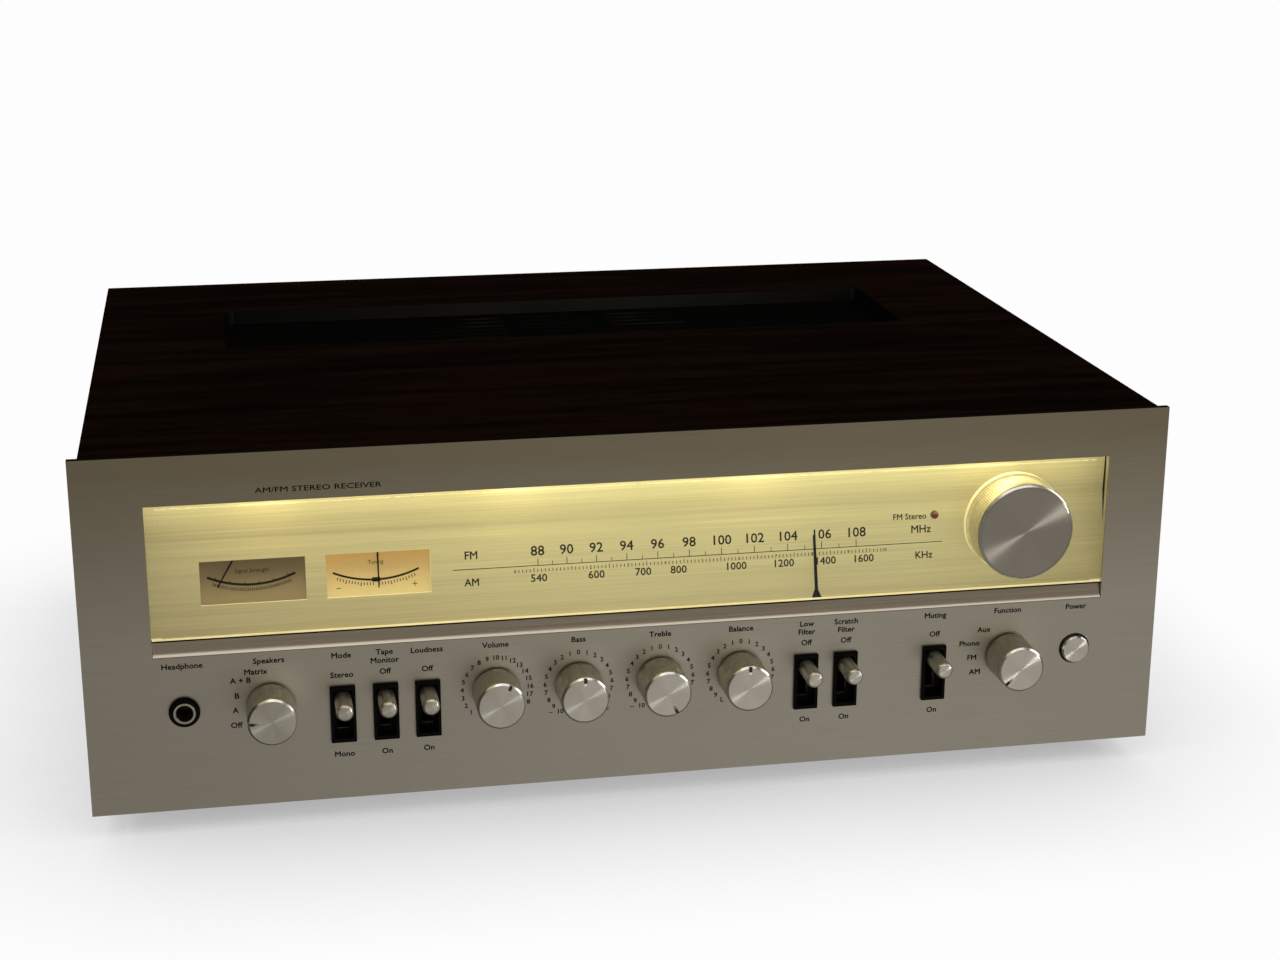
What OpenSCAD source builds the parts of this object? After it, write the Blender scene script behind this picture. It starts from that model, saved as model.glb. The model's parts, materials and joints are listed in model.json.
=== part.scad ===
// Stereo receiver: a wide walnut-cased AM/FM receiver with a brushed faceplate, a lit dial and two meters.
// Layout coordinates inside seat(): X from the centre line, Y back from the front of the faceplate,
// Z up from the lower edge of the faceplate. The finished model stands on Z = 0.

/* [Faceplate] */
// Width of the faceplate
panel_w = 450; // [446:1:480]
// Height of the faceplate
panel_h = 149.3; // [148:0.1:149.5]
// Thickness of the faceplate
panel_t = 3; // [2.6:0.1:3]
// Left edge of the dial window, from the centre line
window_left = -197.4; // [-199:0.2:-196]
// Right edge of the dial window, from the centre line
window_right = 199.8; // [198:0.2:202]
// Lower edge of the dial window
window_low = 66.2; // [65.6:0.1:66.8]
// Upper edge of the dial window
window_high = 129.1; // [128:0.1:130]

/* [Cabinet] */
// Depth from the front of the faceplate to the back of the cabinet
cabinet_d = 320; // [318:1:330]
// How far the cabinet side stands in from the end of the faceplate
cabinet_inset = 4; // [3:0.5:6]
// Thickness of the walnut board
board_t = 9; // [8:0.5:9]
// Length of the vent in the top
vent_w = 325; // [280:5:330]
// Front edge of the vent, from the front of the faceplate
vent_front = 173; // [165:1:180]
// Back edge of the vent, from the front of the faceplate
vent_back = 252; // [240:1:260]
// Height of the feet below the faceplate
foot_h = 10; // [8:1:14]
// Radius of a foot
foot_r = 14; // [12:1:16]

/* [Rotary controls] */
// Height of the row of controls
row_z = 42.8; // [42:0.1:43.4]
// Radius of the rotary knobs
knob_r = 9.9; // [9:0.1:10.2]
// Front of the rotary knobs, ahead of the faceplate
knob_reach = 18; // [16:0.5:20]
// Position of the speaker selector
speakers_x = -152; // [-153:0.5:-151]
// Position of the first tone control
volume_x = -60.75; // [-61:0.25:-60.5]
// Spacing of the four tone controls
tone_pitch = 34.25; // [34:0.05:34.4]
// Position of the function selector and of the tuning knob above it
function_x = 159.2; // [158.8:0.1:159.6]
// Radius of every control shaft
shaft_r = 3; // [3:0.5:3]
// Radial clearance of a shaft in its bushing
run_gap = 0.05; // [0.02:0.01:0.08]
// Radial clearance of a knob on its shaft
grip_gap = 0.02; // [0.01:0.01:0.03]

/* [Tuning] */
// Radius of the tuning knob
tuning_r = 20.5; // [19.5:0.1:20.6]
// Height of the tuning knob
tuning_z = 102.4; // [102:0.1:103]
// Front of the tuning knob, ahead of the faceplate
tuning_reach = 14.4; // [12:0.1:16]
// Radius at which the cord runs on the dial drum: half a turn moves the pointer 157 mm
drum_r = 50; // [50:1:50]
// Position of the pointer at rest
pointer_x = 75.6; // [70:0.1:80]

/* [Levers and buttons] */
// Positions of the six levers
lever_xs = [-123.3, -105.9, -88.8, 70.2, 87.3, 126.2];
// Middle of the lever slots
lever_mid_z = 37.2; // [36.8:0.1:37.6]
// Travel of a lever from its upper to its lower position
lever_travel = 13; // [11:0.5:13]
// Radius of a lever
lever_r = 3.5; // [3.2:0.1:3.5]
// Tip of the levers, ahead of the faceplate
lever_reach = 16; // [14:0.5:17]
// Position of the power button
power_x = 189.2; // [188:0.2:190]
// Height of the power button
power_z = 43.8; // [43:0.2:44.4]
// Radius of the power button
power_r = 6; // [5.6:0.1:6.2]
// Position of the headphone jack
jack_x = -186.2; // [-187:0.2:-185]
// Radius of the headphone jack's bore, for a 6.35 mm plug
jack_r = 3.3; // [3.25:0.01:3.35]

/* [Dial and meters] */
// Backward lean of the dial plate, in degrees
dial_lean = 10; // [10:0.5:10]
// Centre of the signal meter's window
signal_x = -156.5; // [-157:0.1:-156]
// Centre of the tuning meter's window
centre_x = -106.3; // [-106.6:0.1:-106]
// Width of a meter window
meter_w = 42; // [40:0.5:42]
// Height of a meter window, along the leaning plate
meter_h = 17.7; // [17:0.1:18]
// Swing of the signal needle to the left of the middle, at rest
needle_rest = 31; // [26:1:31]

/* [Hidden] */
$fn = 48;

reach_back = 344;                                   // furthest point behind the faceplate's front
front_y = (knob_reach - reach_back) / 2;            // centres the whole depth on Y = 0
cut = 1;                                            // how far a cutter runs past a face
touch = 0.05;                                       // gap between neighbouring fixed parts

sheet_t = 1.2;                                      // steel sheet
bracket_y = 8;                                      // front of the bracket's lower wall
wall_y = 24.8;                                      // front of the bracket's upper wall
shelf_z = 56.8;                                     // underside of the bracket's shelf
roof_z = panel_h - board_t - 1.9;                   // underside of the bracket's roof
bracket_w = 410;
tray_w = 416;
tray_z = 2;
back_y = cabinet_d - 6;                             // front of the rear panel
cover_w = panel_w - 2 * cabinet_inset;

bass_x = volume_x + tone_pitch;
treble_x = volume_x + 2 * tone_pitch;
balance_x = volume_x + 3 * tone_pitch;
pot_xs = [volume_x, bass_x, treble_x, balance_x];
switch_xs = [speakers_x, function_x];
bushing_r = 4.5;
bushing_front = panel_t + 1;
shaft_end = 17.5;                                   // back end of a control shaft

cord_r = 0.45;
cord_y = 20;                                        // plane of the pointer's run
drum_y = 31;                                        // plane of the drum's groove
drum_c = [30, 72];                                  // drum axis, X and Z
pulley_r = 6;                                       // cord radius on a pulley
pulley_z = 66.5;
left_c = [-70, pulley_z];
right_c = [122, pulley_z];
spindle_c = [function_x, tuning_z];
spindle_r = 3;                                      // cord radius on the spindle's neck
run_z = pulley_z - pulley_r;                        // height of the pointer's run

dial_y = 7.2;                                       // front of the dial plate at its lower edge
dial_z = 66;                                        // lower edge of the dial plate
dial_t = 1.2;
dial_bend = 44.2;                                   // distance along the plate to its bend
window_mid = 26.6;                                  // middle of a meter window, along the plate
needle_pivot = 48;                                  // meter pivot, along the plate
needle_l = 27.5;

lever_z = lever_mid_z + lever_travel / 2;           // every lever rests in its upper position
lever_neck = 4;
bezel_w = 10.3;
bezel_h = 24.3;
bezel_t = 1.6;
well_w = 7.6;
well_h = lever_travel + 2 * lever_r + 0.6;

module seat() {
  translate([0, front_y, foot_h]) children();
}

// A box from its lowest to its highest corner.
module block(low, high) {
  translate(low) cube(high - low);
}

// A cylinder along Y, from y0 to y1, at [x, z].
module rod_y(x, z, r, y0, y1) {
  translate([x, y0, z]) rotate([-90, 0, 0]) cylinder(r = r, h = y1 - y0);
}

// A cylinder along X, from x0 to x1, at [y, z].
module rod_x(y, z, r, x0, x1) {
  translate([x0, y, z]) rotate([0, 90, 0]) cylinder(r = r, h = x1 - x0);
}

// Children laid out on the leaning dial plate: X across, Y into the plate, Z up along it.
module on_dial() {
  translate([0, dial_y, dial_z]) rotate([-dial_lean, 0, 0]) children();
}

// Direction from a wheel's centre to the cord's tangent point, on the way from wheel a to wheel b: side is
// 1 to the left of that way and -1 to the right, and a negative radius for b gives the crossed tangent.
function cord_normal(a, ra, b, rb, side) =
  atan2(b[1] - a[1], b[0] - a[0]) + side * acos((ra - rb) / norm(b - a));
function on_wheel(c, r, angle) = [c[0] + r * cos(angle), c[1] + r * sin(angle)];

module steel() { color([0.62, 0.63, 0.64]) children(); }
module satin() { color([0.60, 0.57, 0.52]) children(); }
module turned() { color([0.78, 0.77, 0.74]) children(); }
module black() { color([0.06, 0.06, 0.06]) children(); }

// ---------------------------------------------------------------- frame and case

module chassis() {
  flange_h = 20;
  lip_h = 12;
  steel() seat() difference() {
    union() {
      block([-tray_w / 2, bracket_y + sheet_t + touch, tray_z], [tray_w / 2, back_y - touch, tray_z + sheet_t]);
      for (side = [-1, 1])
        translate([side * (tray_w - sheet_t) / 2, 0, 0])
          block([-sheet_t / 2, 30, tray_z], [sheet_t / 2, back_y - touch, tray_z + flange_h]);
      block([-tray_w / 2, back_y - touch - sheet_t, tray_z], [tray_w / 2, back_y - touch, tray_z + lip_h]);
    }
    for (x = [-150:20:150])
      block([x - 3, 240, tray_z - cut], [x + 3, 290, tray_z + sheet_t + cut]);
    side_screw_holes();
    rear_screw_holes();
  }
}

module rear_panel() {
  hole_gap = 0.3;
  steel() seat() difference() {
    block([-tray_w / 2, back_y, tray_z + 1], [tray_w / 2, back_y + sheet_t, panel_h - board_t - 1.5]);
    for (p = jack_places())
      rod_y(p[0], p[1], rca_boss_r + hole_gap, back_y - cut, back_y + sheet_t + cut);
    block([-60, back_y - cut, 38], [50, back_y + sheet_t + cut, 74]);
    rod_y(grommet_x, grommet_z, grommet_r + 0.05, back_y - cut, back_y + sheet_t + cut);
    for (x = [70:12:190])
      block([x - 2, back_y - cut, 60], [x + 2, back_y + sheet_t + cut, 90]);
    rear_screw_holes();
  }
}

module front_bracket() {
  neck_slot_w = 5;
  neck_slot_h = lever_travel + 6;
  steel() seat() {
    difference() {
      union() {
        block([-bracket_w / 2, bracket_y, 3.3], [bracket_w / 2, bracket_y + sheet_t, shelf_z + sheet_t]);
        block([-bracket_w / 2, bracket_y, 3.3], [bracket_w / 2, 22, 3.3 + sheet_t]);
        block([-bracket_w / 2, bracket_y, shelf_z], [bracket_w / 2, wall_y + sheet_t, shelf_z + sheet_t]);
        block([-bracket_w / 2, wall_y, shelf_z], [bracket_w / 2, wall_y + sheet_t, roof_z + sheet_t]);
        block([-bracket_w / 2, panel_t + 0.6, roof_z], [bracket_w / 2, wall_y + sheet_t, roof_z + sheet_t]);
        rod_y(spindle_c[0], spindle_c[1], 6, 23, 33);
        for (x = lamp_xs, side = [-1, 1])
          translate([x + side * 13.5, 8, 0]) block([-1.5, -2, 137.7], [1.5, 2, roof_z + cut]);
        for (c = [left_c, right_c])
          rod_y(c[0], c[1], 2, cord_y - 2.4, wall_y + sheet_t);
      }
      for (x = concat(pot_xs, switch_xs))
        rod_y(x, row_z, bushing_r + 0.1, bracket_y - cut, bracket_y + sheet_t + cut);
      rod_y(jack_x, row_z, bushing_r + 0.1, bracket_y - cut, bracket_y + sheet_t + cut);
      rod_y(power_x, power_z, 2.8, bracket_y - cut, bracket_y + sheet_t + cut);
      for (x = lever_xs)
        translate([x, 0, lever_mid_z])
          block([-neck_slot_w / 2, bracket_y - cut, -neck_slot_h / 2],
                [neck_slot_w / 2, bracket_y + sheet_t + cut, neck_slot_h / 2]);
      rod_y(spindle_c[0], spindle_c[1], shaft_r + run_gap, 20, 36);
      block([-183, wall_y - cut, 74], [-79, wall_y + sheet_t + cut, 133]);
      block([-48, wall_y - cut, 84], [-20, wall_y + sheet_t + cut, 102]);
      block([84, wall_y - cut, 106], [118, wall_y + sheet_t + cut, 122]);
    }
  }
}

module cabinet_cover() {
  half = cover_w / 2;
  color([0.20, 0.10, 0.06]) seat() difference() {
    block([-half, panel_t + touch, 0], [half, cabinet_d, panel_h]);
    block([-half + board_t, 0, -cut], [half - board_t, cabinet_d + cut, panel_h - board_t]);
    vent_outline(0);
    side_screw_holes();
  }
}

// The vent's rounded rectangle as a solid through the top board, drawn smaller by the inset.
module vent_outline(inset) {
  corner_r = 5;
  low = panel_h - board_t - cut;
  for (x = [-1, 1], y = [0, 1])
    translate([x * (vent_w / 2 - corner_r), y == 0 ? vent_front + corner_r : vent_back - corner_r, low])
      cylinder(r = corner_r - inset, h = board_t + 2 * cut);
  block([-vent_w / 2 + corner_r, vent_front + inset, low], [vent_w / 2 - corner_r, vent_back - inset, panel_h + cut]);
  block([-vent_w / 2 + inset, vent_front + corner_r, low], [vent_w / 2 - inset, vent_back - corner_r, panel_h + cut]);
}

module vent_grille() {
  skin = 1;
  floor_z = panel_h - 6;
  slot_pitch = 8;
  slot_w = 3;
  black() seat() difference() {
    intersection() {
      vent_outline(0.2);
      block([-vent_w, 0, floor_z - skin], [vent_w, cabinet_d, panel_h + 0.3]);
    }
    intersection() {
      vent_outline(0.2 + skin);
      block([-vent_w, 0, floor_z], [vent_w, cabinet_d, panel_h + cut]);
    }
    for (y = [vent_front + 12:slot_pitch:vent_back - 10], i = [-3:3])
      block([i * 44 - 19, y - slot_w / 2, floor_z - skin - cut], [i * 44 + 19, y + slot_w / 2, floor_z + cut]);
  }
}

module feet() {
  black() seat()
    for (x = [-180, 180], y = [45, cabinet_d - 35])
      translate([x, y, -foot_h])
        rotate_extrude()
          polygon([[0, 0], [foot_r - 2, 0], [foot_r - 1, 1], [foot_r, foot_h + tray_z - touch],
                   [0, foot_h + tray_z - touch]]);
}

screw_r = 2;
side_screw_z = 11;
rear_screw_xs = [-195, -70, 70, 195];
rear_screw_z = 9;

// A pan-head screw pointing along +Z, its head above the origin.
module screw(length) {
  translate([0, 0, -2]) cylinder(r = 4, h = 2);
  translate([0, 0, -touch]) cylinder(r = screw_r, h = length);
}

module side_screw_holes() {
  for (y = [60, cabinet_d - 60])
    rod_x(y, side_screw_z, screw_r + 0.1, -panel_w, panel_w);
}

module rear_screw_holes() {
  for (x = rear_screw_xs)
    rod_y(x, rear_screw_z, screw_r + 0.1, back_y - 12, back_y + 12);
}

module screws() {
  color([0.3, 0.3, 0.3]) seat() {
    for (side = [-1, 1], y = [60, cabinet_d - 60])
      translate([side * (cover_w / 2 + touch), y, side_screw_z]) rotate([0, -90 * side, 0]) screw(17);
    for (x = rear_screw_xs)
      translate([x, back_y + sheet_t + touch, rear_screw_z]) rotate([90, 0, 0]) screw(8);
  }
}

// ---------------------------------------------------------------- faceplate and dial

module faceplate() {
  satin() seat() difference() {
    block([-panel_w / 2, 0, 0], [panel_w / 2, panel_t, panel_h]);
    block([window_left, -cut, window_low], [window_right, panel_t + cut, window_high]);
    for (x = concat(pot_xs, switch_xs))
      rod_y(x, row_z, shaft_r + 1, -cut, panel_t + cut);
    rod_y(jack_x, row_z, bushing_r + 0.1, -cut, panel_t + cut);
    rod_y(power_x, power_z, power_r + 0.8, -cut, panel_t + cut);
    for (x = lever_xs)
      translate([x, 0, lever_mid_z])
        block([-bezel_w / 2 + 0.5, -cut, -bezel_h / 2 + 0.6], [bezel_w / 2 - 0.5, panel_t + cut, bezel_h / 2 - 0.6]);
  }
}

// A strip that closes the lower edge of the window: a sloping face above a small bevel.
module window_sill() {
  low = window_low + 0.1;
  high = 72.4;
  satin() seat() translate([window_left + 0.1, 0, 0])
    rotate([90, 0, 90]) linear_extrude(window_right - window_left - 0.2)
      polygon([[0.1, low], [1, low + 1.6], [2.4, high], [panel_t, high], [panel_t, 70],
               [panel_t + 0.8, 70], [panel_t + 0.8, 60], [panel_t, 60], [panel_t, low]]);
}

module dial_lens() {
  front = 0.6;
  low = 73.2;
  high = window_high - 0.2;
  flange = 4;
  color([0.9, 0.9, 0.85, 0.3]) seat() difference() {
    union() {
      block([window_left + 0.2, front, low], [window_right - 0.2, panel_t + touch, high]);
      for (x = [window_left - flange, window_right - flange])
        block([x, panel_t + touch, low], [x + 2 * flange, panel_t + 1, high + flange]);
      block([window_left - flange, panel_t + touch, high - 2],
            [window_right + flange, panel_t + 1, high + flange]);
    }
    rod_y(spindle_c[0], spindle_c[1], tuning_r + 0.7, -cut, panel_t + 2);
  }
}

module dial_plate() {
  left = -201.4;
  width = 405.1;
  bend_y = dial_y + dial_bend * sin(dial_lean);
  bend_z = dial_z + dial_bend * cos(dial_lean);
  top_y = bend_y - 1.4;
  top_z = roof_z - 0.2;
  color([0.80, 0.72, 0.42]) seat() difference() {
    translate([left, 0, 0]) rotate([90, 0, 90]) linear_extrude(width)
      polygon([[dial_y, dial_z], [bend_y, bend_z], [top_y, top_z], [top_y + dial_t, top_z],
               [bend_y + dial_t, bend_z], [dial_y + dial_t, dial_z]]);
    on_dial() for (x = [signal_x, centre_x])
      translate([x, 0, window_mid])
        block([-meter_w / 2, -3, -meter_h / 2], [meter_w / 2, 4, meter_h / 2]);
    rod_y(spindle_c[0], spindle_c[1], shaft_r + 3, 0, wall_y);
    rod_y(lamp_x, lamp_z, lamp_r + 0.1, 0, wall_y);
  }
}

lamp_x = 128.5;
lamp_z = 103.1;
lamp_r = 1.7;
lamp_stem_r = 0.9;                                  // passes under the cord on its way to the drum

module stereo_lamp() {
  color([0.35, 0.05, 0.04]) seat() {
    rod_y(lamp_x, lamp_z, lamp_r, 13.4, 19);
    rod_y(lamp_x, lamp_z, lamp_stem_r, 18, wall_y - touch);
    translate([lamp_x, 13.4, lamp_z]) sphere(r = lamp_r);
  }
}

lamp_xs = [-150, -50, 50, 150];

module dial_lamps() {
  color([1, 0.9, 0.6]) seat()
    for (x = lamp_xs) {
      rod_x(8, 134.5, 2.8, x - 16, x + 16);
      for (side = [-1, 1])
        rod_x(8, 134.5, 3.1, x + side * 13.5 - 2.5, x + side * 13.5 + 2.5);
    }
}

module meter_cases() {
  half = 23.5;
  low = 11;
  high = 60;
  front = dial_t + 0.2;
  back = 15;
  wall = 1.2;
  black() seat() on_dial() for (x = [signal_x, centre_x])
    translate([x, 0, 0]) difference() {
      block([-half, front, low], [half, back, high]);
      block([-half + wall, front - cut, low + wall], [half - wall, back - wall, high - wall]);
    }
}

module meter_scales() {
  half = 22.2;
  depth = 3.4;
  color([0.85, 0.75, 0.5]) seat() on_dial() for (x = [signal_x, centre_x])
    translate([x, 0, 0]) difference() {
      block([-half, depth, 12.3], [half, depth + 0.6, 58.6]);
      rod_y(0, needle_pivot, 3.2, 0, 9);
    }
}

// A meter movement: a hanging needle on its hub, with the coil behind the scale.
module needle(x, swing) {
  depth = 2.2;
  black() seat() on_dial() translate([x, 0, needle_pivot]) rotate([0, swing, 0]) {
    rod_y(0, 0, 2.4, depth - 0.5, 6);
    rod_y(0, 0, 8, 6, 12);
    translate([0, depth, 0]) rotate([90, 0, 0]) translate([0, 0, -0.4])
      linear_extrude(0.4) polygon([[-0.5, 0], [-0.25, -needle_l], [0.25, -needle_l], [0.5, 0]]);
  }
}

module signal_needle() { needle(signal_x, needle_rest); }
module tuning_needle() { needle(centre_x, 0); }

// ---------------------------------------------------------------- tuning drive

module tuning_knob() {
  edge = 0.9;
  length = tuning_reach + 3.4;
  turned() seat() translate([spindle_c[0], 3.4, spindle_c[1]]) rotate([90, 0, 0])
    difference() {
      rotate_extrude($fn = 96)
        polygon([[shaft_r + grip_gap, 0], [tuning_r - edge, 0], [tuning_r, edge], [tuning_r, length - edge],
                 [tuning_r - edge, length], [0, length], [0, 13], [shaft_r + grip_gap, 13]]);
    }
}

module tuning_shaft() {
  steel() seat() difference() {
    rod_y(spindle_c[0], spindle_c[1], shaft_r, -8, 50);
    translate([spindle_c[0], 0, spindle_c[1]]) rotate([-90, 0, 0]) difference() {
      translate([0, 0, 17.6]) cylinder(r = shaft_r + cut, h = 5);
      translate([0, 0, 17.6 - cut]) cylinder(r = spindle_r - cord_r - touch, h = 5 + 2 * cut);
    }
  }
}

module flywheel() {
  steel() seat() translate([spindle_c[0], 0, spindle_c[1]]) rotate([-90, 0, 0])
    rotate_extrude()
      polygon([[shaft_r + grip_gap, 34.5], [8, 34.5], [8, 37], [22, 37], [22, 48], [16, 48], [16, 42],
               [shaft_r + grip_gap, 42]]);
}

// A grooved wheel around Y with its cord radius, half width and bore. The groove opens outwards, so that a
// cord that leaves it at a slant clears its walls.
module cord_wheel(c, y, r, half, bore) {
  groove = r - cord_r - 0.06;
  rim = groove + 1.6;
  mouth = half - 0.45;
  floor_half = half - 1.2;
  translate([c[0], y, c[1]]) rotate([-90, 0, 0])
    rotate_extrude()
      polygon([[bore, -half], [rim, -half], [rim, -mouth], [groove, -floor_half], [groove, floor_half],
               [rim, mouth], [rim, half], [bore, half]]);
}

module dial_drum() {
  spoke_hole_r = 13;
  color([0.85, 0.84, 0.78]) seat() {
    difference() {
      cord_wheel(drum_c, drum_y, drum_r, 2.5, shaft_r + grip_gap);
      for (a = [0:60:300])
        rod_y(drum_c[0] + 29 * cos(a), drum_c[1] + 29 * sin(a), spoke_hole_r, drum_y - 5, drum_y + 5);
    }
    difference() {
      rod_y(drum_c[0], drum_c[1], 8, drum_y + 2, drum_y + 7);
      rod_y(drum_c[0], drum_c[1], shaft_r + grip_gap, drum_y, drum_y + 8);
    }
  }
}

module pulley(c) {
  color([0.85, 0.84, 0.78]) seat() cord_wheel(c, cord_y, pulley_r, 1.8, 2 + run_gap);
}

module left_pulley() { pulley(left_c); }
module right_pulley() { pulley(right_c); }

plate_pitch = 5;
plate_ys = [50:plate_pitch:75];

module capacitor_rotor() {
  color([0.75, 0.75, 0.72]) seat() {
    rod_y(drum_c[0], drum_c[1], shaft_r, drum_y - 3.5, 84);
    for (y = plate_ys)
      translate([drum_c[0], y, drum_c[1]]) rotate([-90, 0, 0]) intersection() {
        cylinder(r = 17, h = 1.2);
        translate([-20, -3, -cut]) cube([40, 23, 4]);
      }
  }
}

module tuning_capacitor() {
  half = 22;
  color([0.70, 0.71, 0.70]) seat() translate([drum_c[0], 0, drum_c[1]]) difference() {
    union() {
      for (y = [42, 80])
        block([-half, y, -22], [half, y + 2, 22]);
      block([-half, 42, -24], [half, 82, -22]);
      for (side = [-1, 1])
        translate([side * 20, 0, 0]) block([-1.5, 43, -20], [1.5, 81, -15]);
      for (y = plate_ys)
        block([-20, y - plate_pitch / 2, 4], [20, y - plate_pitch / 2 + 1, 20]);
      for (side = [-1, 1])
        translate([side * 20, 0, 0]) block([-1.5, 43, 14], [1.5, 81, 18]);
      for (side = [-1, 1], y = [45, 75])
        translate([side * 16, y, -drum_c[1] + tray_z + sheet_t + touch]) cylinder(r = 3, h = 45);
    }
    rod_y(0, 0, shaft_r + run_gap, 40, 90);
  }
}

// The pointer rides on the lower run of the cord, behind the sill, and leans back over the dial.
module dial_pointer() {
  post_y = 4.4;
  post_top = 73;
  bar_z = run_z + cord_r + 0.3;
  lean = 15;
  needle_h = 27.5;
  black() seat() translate([pointer_x, 0, 0]) {
    block([-4, post_y, bar_z], [4, 22, bar_z + 2.4]);
    block([-2, post_y, bar_z], [2, post_y + 1, post_top]);
    for (y = [cord_y - 1.1, cord_y + 0.7])
      block([-4, y, run_z - 0.8], [4, y + 0.4, bar_z + 1]);
    translate([0, post_y, post_top - 1.6]) rotate([-lean, 0, 0]) rotate([90, 0, 0])
      translate([0, 0, -0.7]) linear_extrude(0.7)
        polygon([[-1.8, 0], [-1.8, 5.5], [-1.15, 8.4], [-0.5, needle_h], [0.5, needle_h], [1.15, 8.4],
                 [1.8, 5.5], [1.8, 0]]);
  }
}

// One straight length of cord between two points.
module cord_run(a, b) {
  v = b - a;
  translate(a)
    rotate([0, acos(v[2] / norm(v)), atan2(v[1], v[0])])
      cylinder(r = cord_r, h = norm(v));
}

// Cord laid round a wheel at c, counter-clockwise seen from the front, from angle a0 to a1.
module cord_arc(c, y, r, a0, a1) {
  translate([c[0], y, c[1]]) rotate([90, 0, 0]) rotate([0, 0, a0])
    rotate_extrude(angle = a1 - a0) translate([r, 0]) circle(r = cord_r - 0.05, $fn = 16);
}

// A small stitch that joins two lengths of cord at an angle around a wheel.
module cord_joint(c, y, r, angle) {
  half = cord_r + 0.03;
  translate([c[0], y, c[1]]) rotate([0, -angle, 0])
    block([r - half, -half - 0.07, -half], [r + half, half + 0.07, half]);
}

// Turning the tuning shaft clockwise winds the cord over it and draws the pointer to the right.
module dial_cord() {
  wrap = 0.8;
  left_out = cord_normal(left_c, pulley_r, drum_c, drum_r, 1);
  right_out = cord_normal(right_c, pulley_r, spindle_c, -spindle_r, -1);
  drum_out = cord_normal(spindle_c, spindle_r, drum_c, -drum_r, 1);
  l0 = on_wheel(left_c, pulley_r, left_out);
  l1 = on_wheel(drum_c, drum_r, left_out);
  r0 = on_wheel(right_c, pulley_r, right_out);
  r1 = on_wheel(spindle_c, -spindle_r, right_out);
  t0 = on_wheel(spindle_c, spindle_r, drum_out);
  t1 = on_wheel(drum_c, -drum_r, drum_out);
  color([0.15, 0.15, 0.12]) seat() {
    cord_run([left_c[0], cord_y, run_z], [right_c[0], cord_y, run_z]);
    cord_arc(left_c, cord_y, pulley_r, left_out, 270);
    cord_run([l0[0], cord_y, l0[1]], [l1[0], drum_y, l1[1]]);
    cord_arc(drum_c, drum_y, drum_r, drum_out + 180, left_out);
    cord_run([t0[0], cord_y + wrap, t0[1]], [t1[0], drum_y, t1[1]]);
    difference() {
      rod_y(spindle_c[0], spindle_c[1], spindle_r + 0.3, cord_y - wrap - 0.45, cord_y + wrap + 0.45);
      rod_y(spindle_c[0], spindle_c[1], spindle_r - cord_r + 0.05, 0, wall_y);
    }
    cord_run([r0[0], cord_y, r0[1]], [r1[0], cord_y - wrap, r1[1]]);
    cord_arc(right_c, cord_y, pulley_r, -90, right_out);
    for (angle = [left_out, 270])
      cord_joint(left_c, cord_y, pulley_r, angle);
    for (angle = [-90, right_out])
      cord_joint(right_c, cord_y, pulley_r, angle);
    for (angle = [drum_out + 180, left_out])
      cord_joint(drum_c, drum_y, drum_r, angle);
  }
}

// ---------------------------------------------------------------- knobs, levers and buttons

// A turned knob with a bevelled rim and an index notch, the notch turned counter-clockwise from the top.
module rotary_knob(x, turn) {
  edge = 0.7;
  rear = 1;
  length = knob_reach - rear;
  notch_w = 1.1;
  notch_l = 2.4;
  turned() seat() translate([x, -rear, row_z]) rotate([90, 0, 0]) rotate([0, 0, turn]) difference() {
    rotate_extrude($fn = 72)
      polygon([[shaft_r + grip_gap, 0], [knob_r - edge, 0], [knob_r, edge], [knob_r, length - edge],
               [knob_r - edge, length], [0, length], [0, 12], [shaft_r + grip_gap, 12]]);
    translate([-notch_w / 2, knob_r - notch_l, length - 0.8]) cube([notch_w, notch_l + cut, 2]);
  }
}

module control_shaft(x) {
  steel() seat() rod_y(x, row_z, shaft_r, -12, shaft_end);
}

module speakers_knob() { rotary_knob(speakers_x, 92); }
module volume_knob() { rotary_knob(volume_x, -25); }
module bass_knob() { rotary_knob(bass_x, 0); }
module treble_knob() { rotary_knob(treble_x, -155); }
module balance_knob() { rotary_knob(balance_x, 0); }
module function_knob() { rotary_knob(function_x, 134); }

module speakers_shaft() { control_shaft(speakers_x); }
module volume_shaft() { control_shaft(volume_x); }
module bass_shaft() { control_shaft(bass_x); }
module treble_shaft() { control_shaft(treble_x); }
module balance_shaft() { control_shaft(balance_x); }
module function_shaft() { control_shaft(function_x); }

// Threaded bushing with its nut, bored for a shaft that ends inside the body behind it.
module bushing_bore(x) {
  rod_y(x, row_z, shaft_r + run_gap, 0, shaft_end + 0.5);
}

module bushing(x) {
  rod_y(x, row_z, bushing_r, bushing_front, bracket_y + sheet_t + cut);
  translate([x, bracket_y - 2.2, row_z]) rotate([-90, 0, 0]) cylinder(r = 7, h = 2.1, $fn = 6);
}

module control_pots() {
  color([0.45, 0.44, 0.40]) seat() for (x = pot_xs)
    difference() {
      union() {
        bushing(x);
        rod_y(x, row_z, 8.5, bracket_y + sheet_t + touch, 20);
        for (i = [-1:1])
          block([x + i * 5 - 1, 12, row_z - 14], [x + i * 5 + 1, 12.8, row_z - 6]);
      }
      bushing_bore(x);
    }
}

module rotary_switches() {
  wafer_r = 14;
  color([0.40, 0.28, 0.16]) seat() for (x = switch_xs)
    difference() {
      union() {
        bushing(x);
        rod_y(x, row_z, 9, bracket_y + sheet_t + touch, 20);
        for (y = [19, 27])
          rod_y(x, row_z, wafer_r, y, y + 1.6);
        for (side = [-1, 1])
          rod_y(x + side * 11, row_z, 1.6, bracket_y + sheet_t + touch, 32);
        block([x - 12, bracket_y + sheet_t + touch, row_z - 3], [x + 12, 11, row_z + 3]);
      }
      bushing_bore(x);
    }
}

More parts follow.
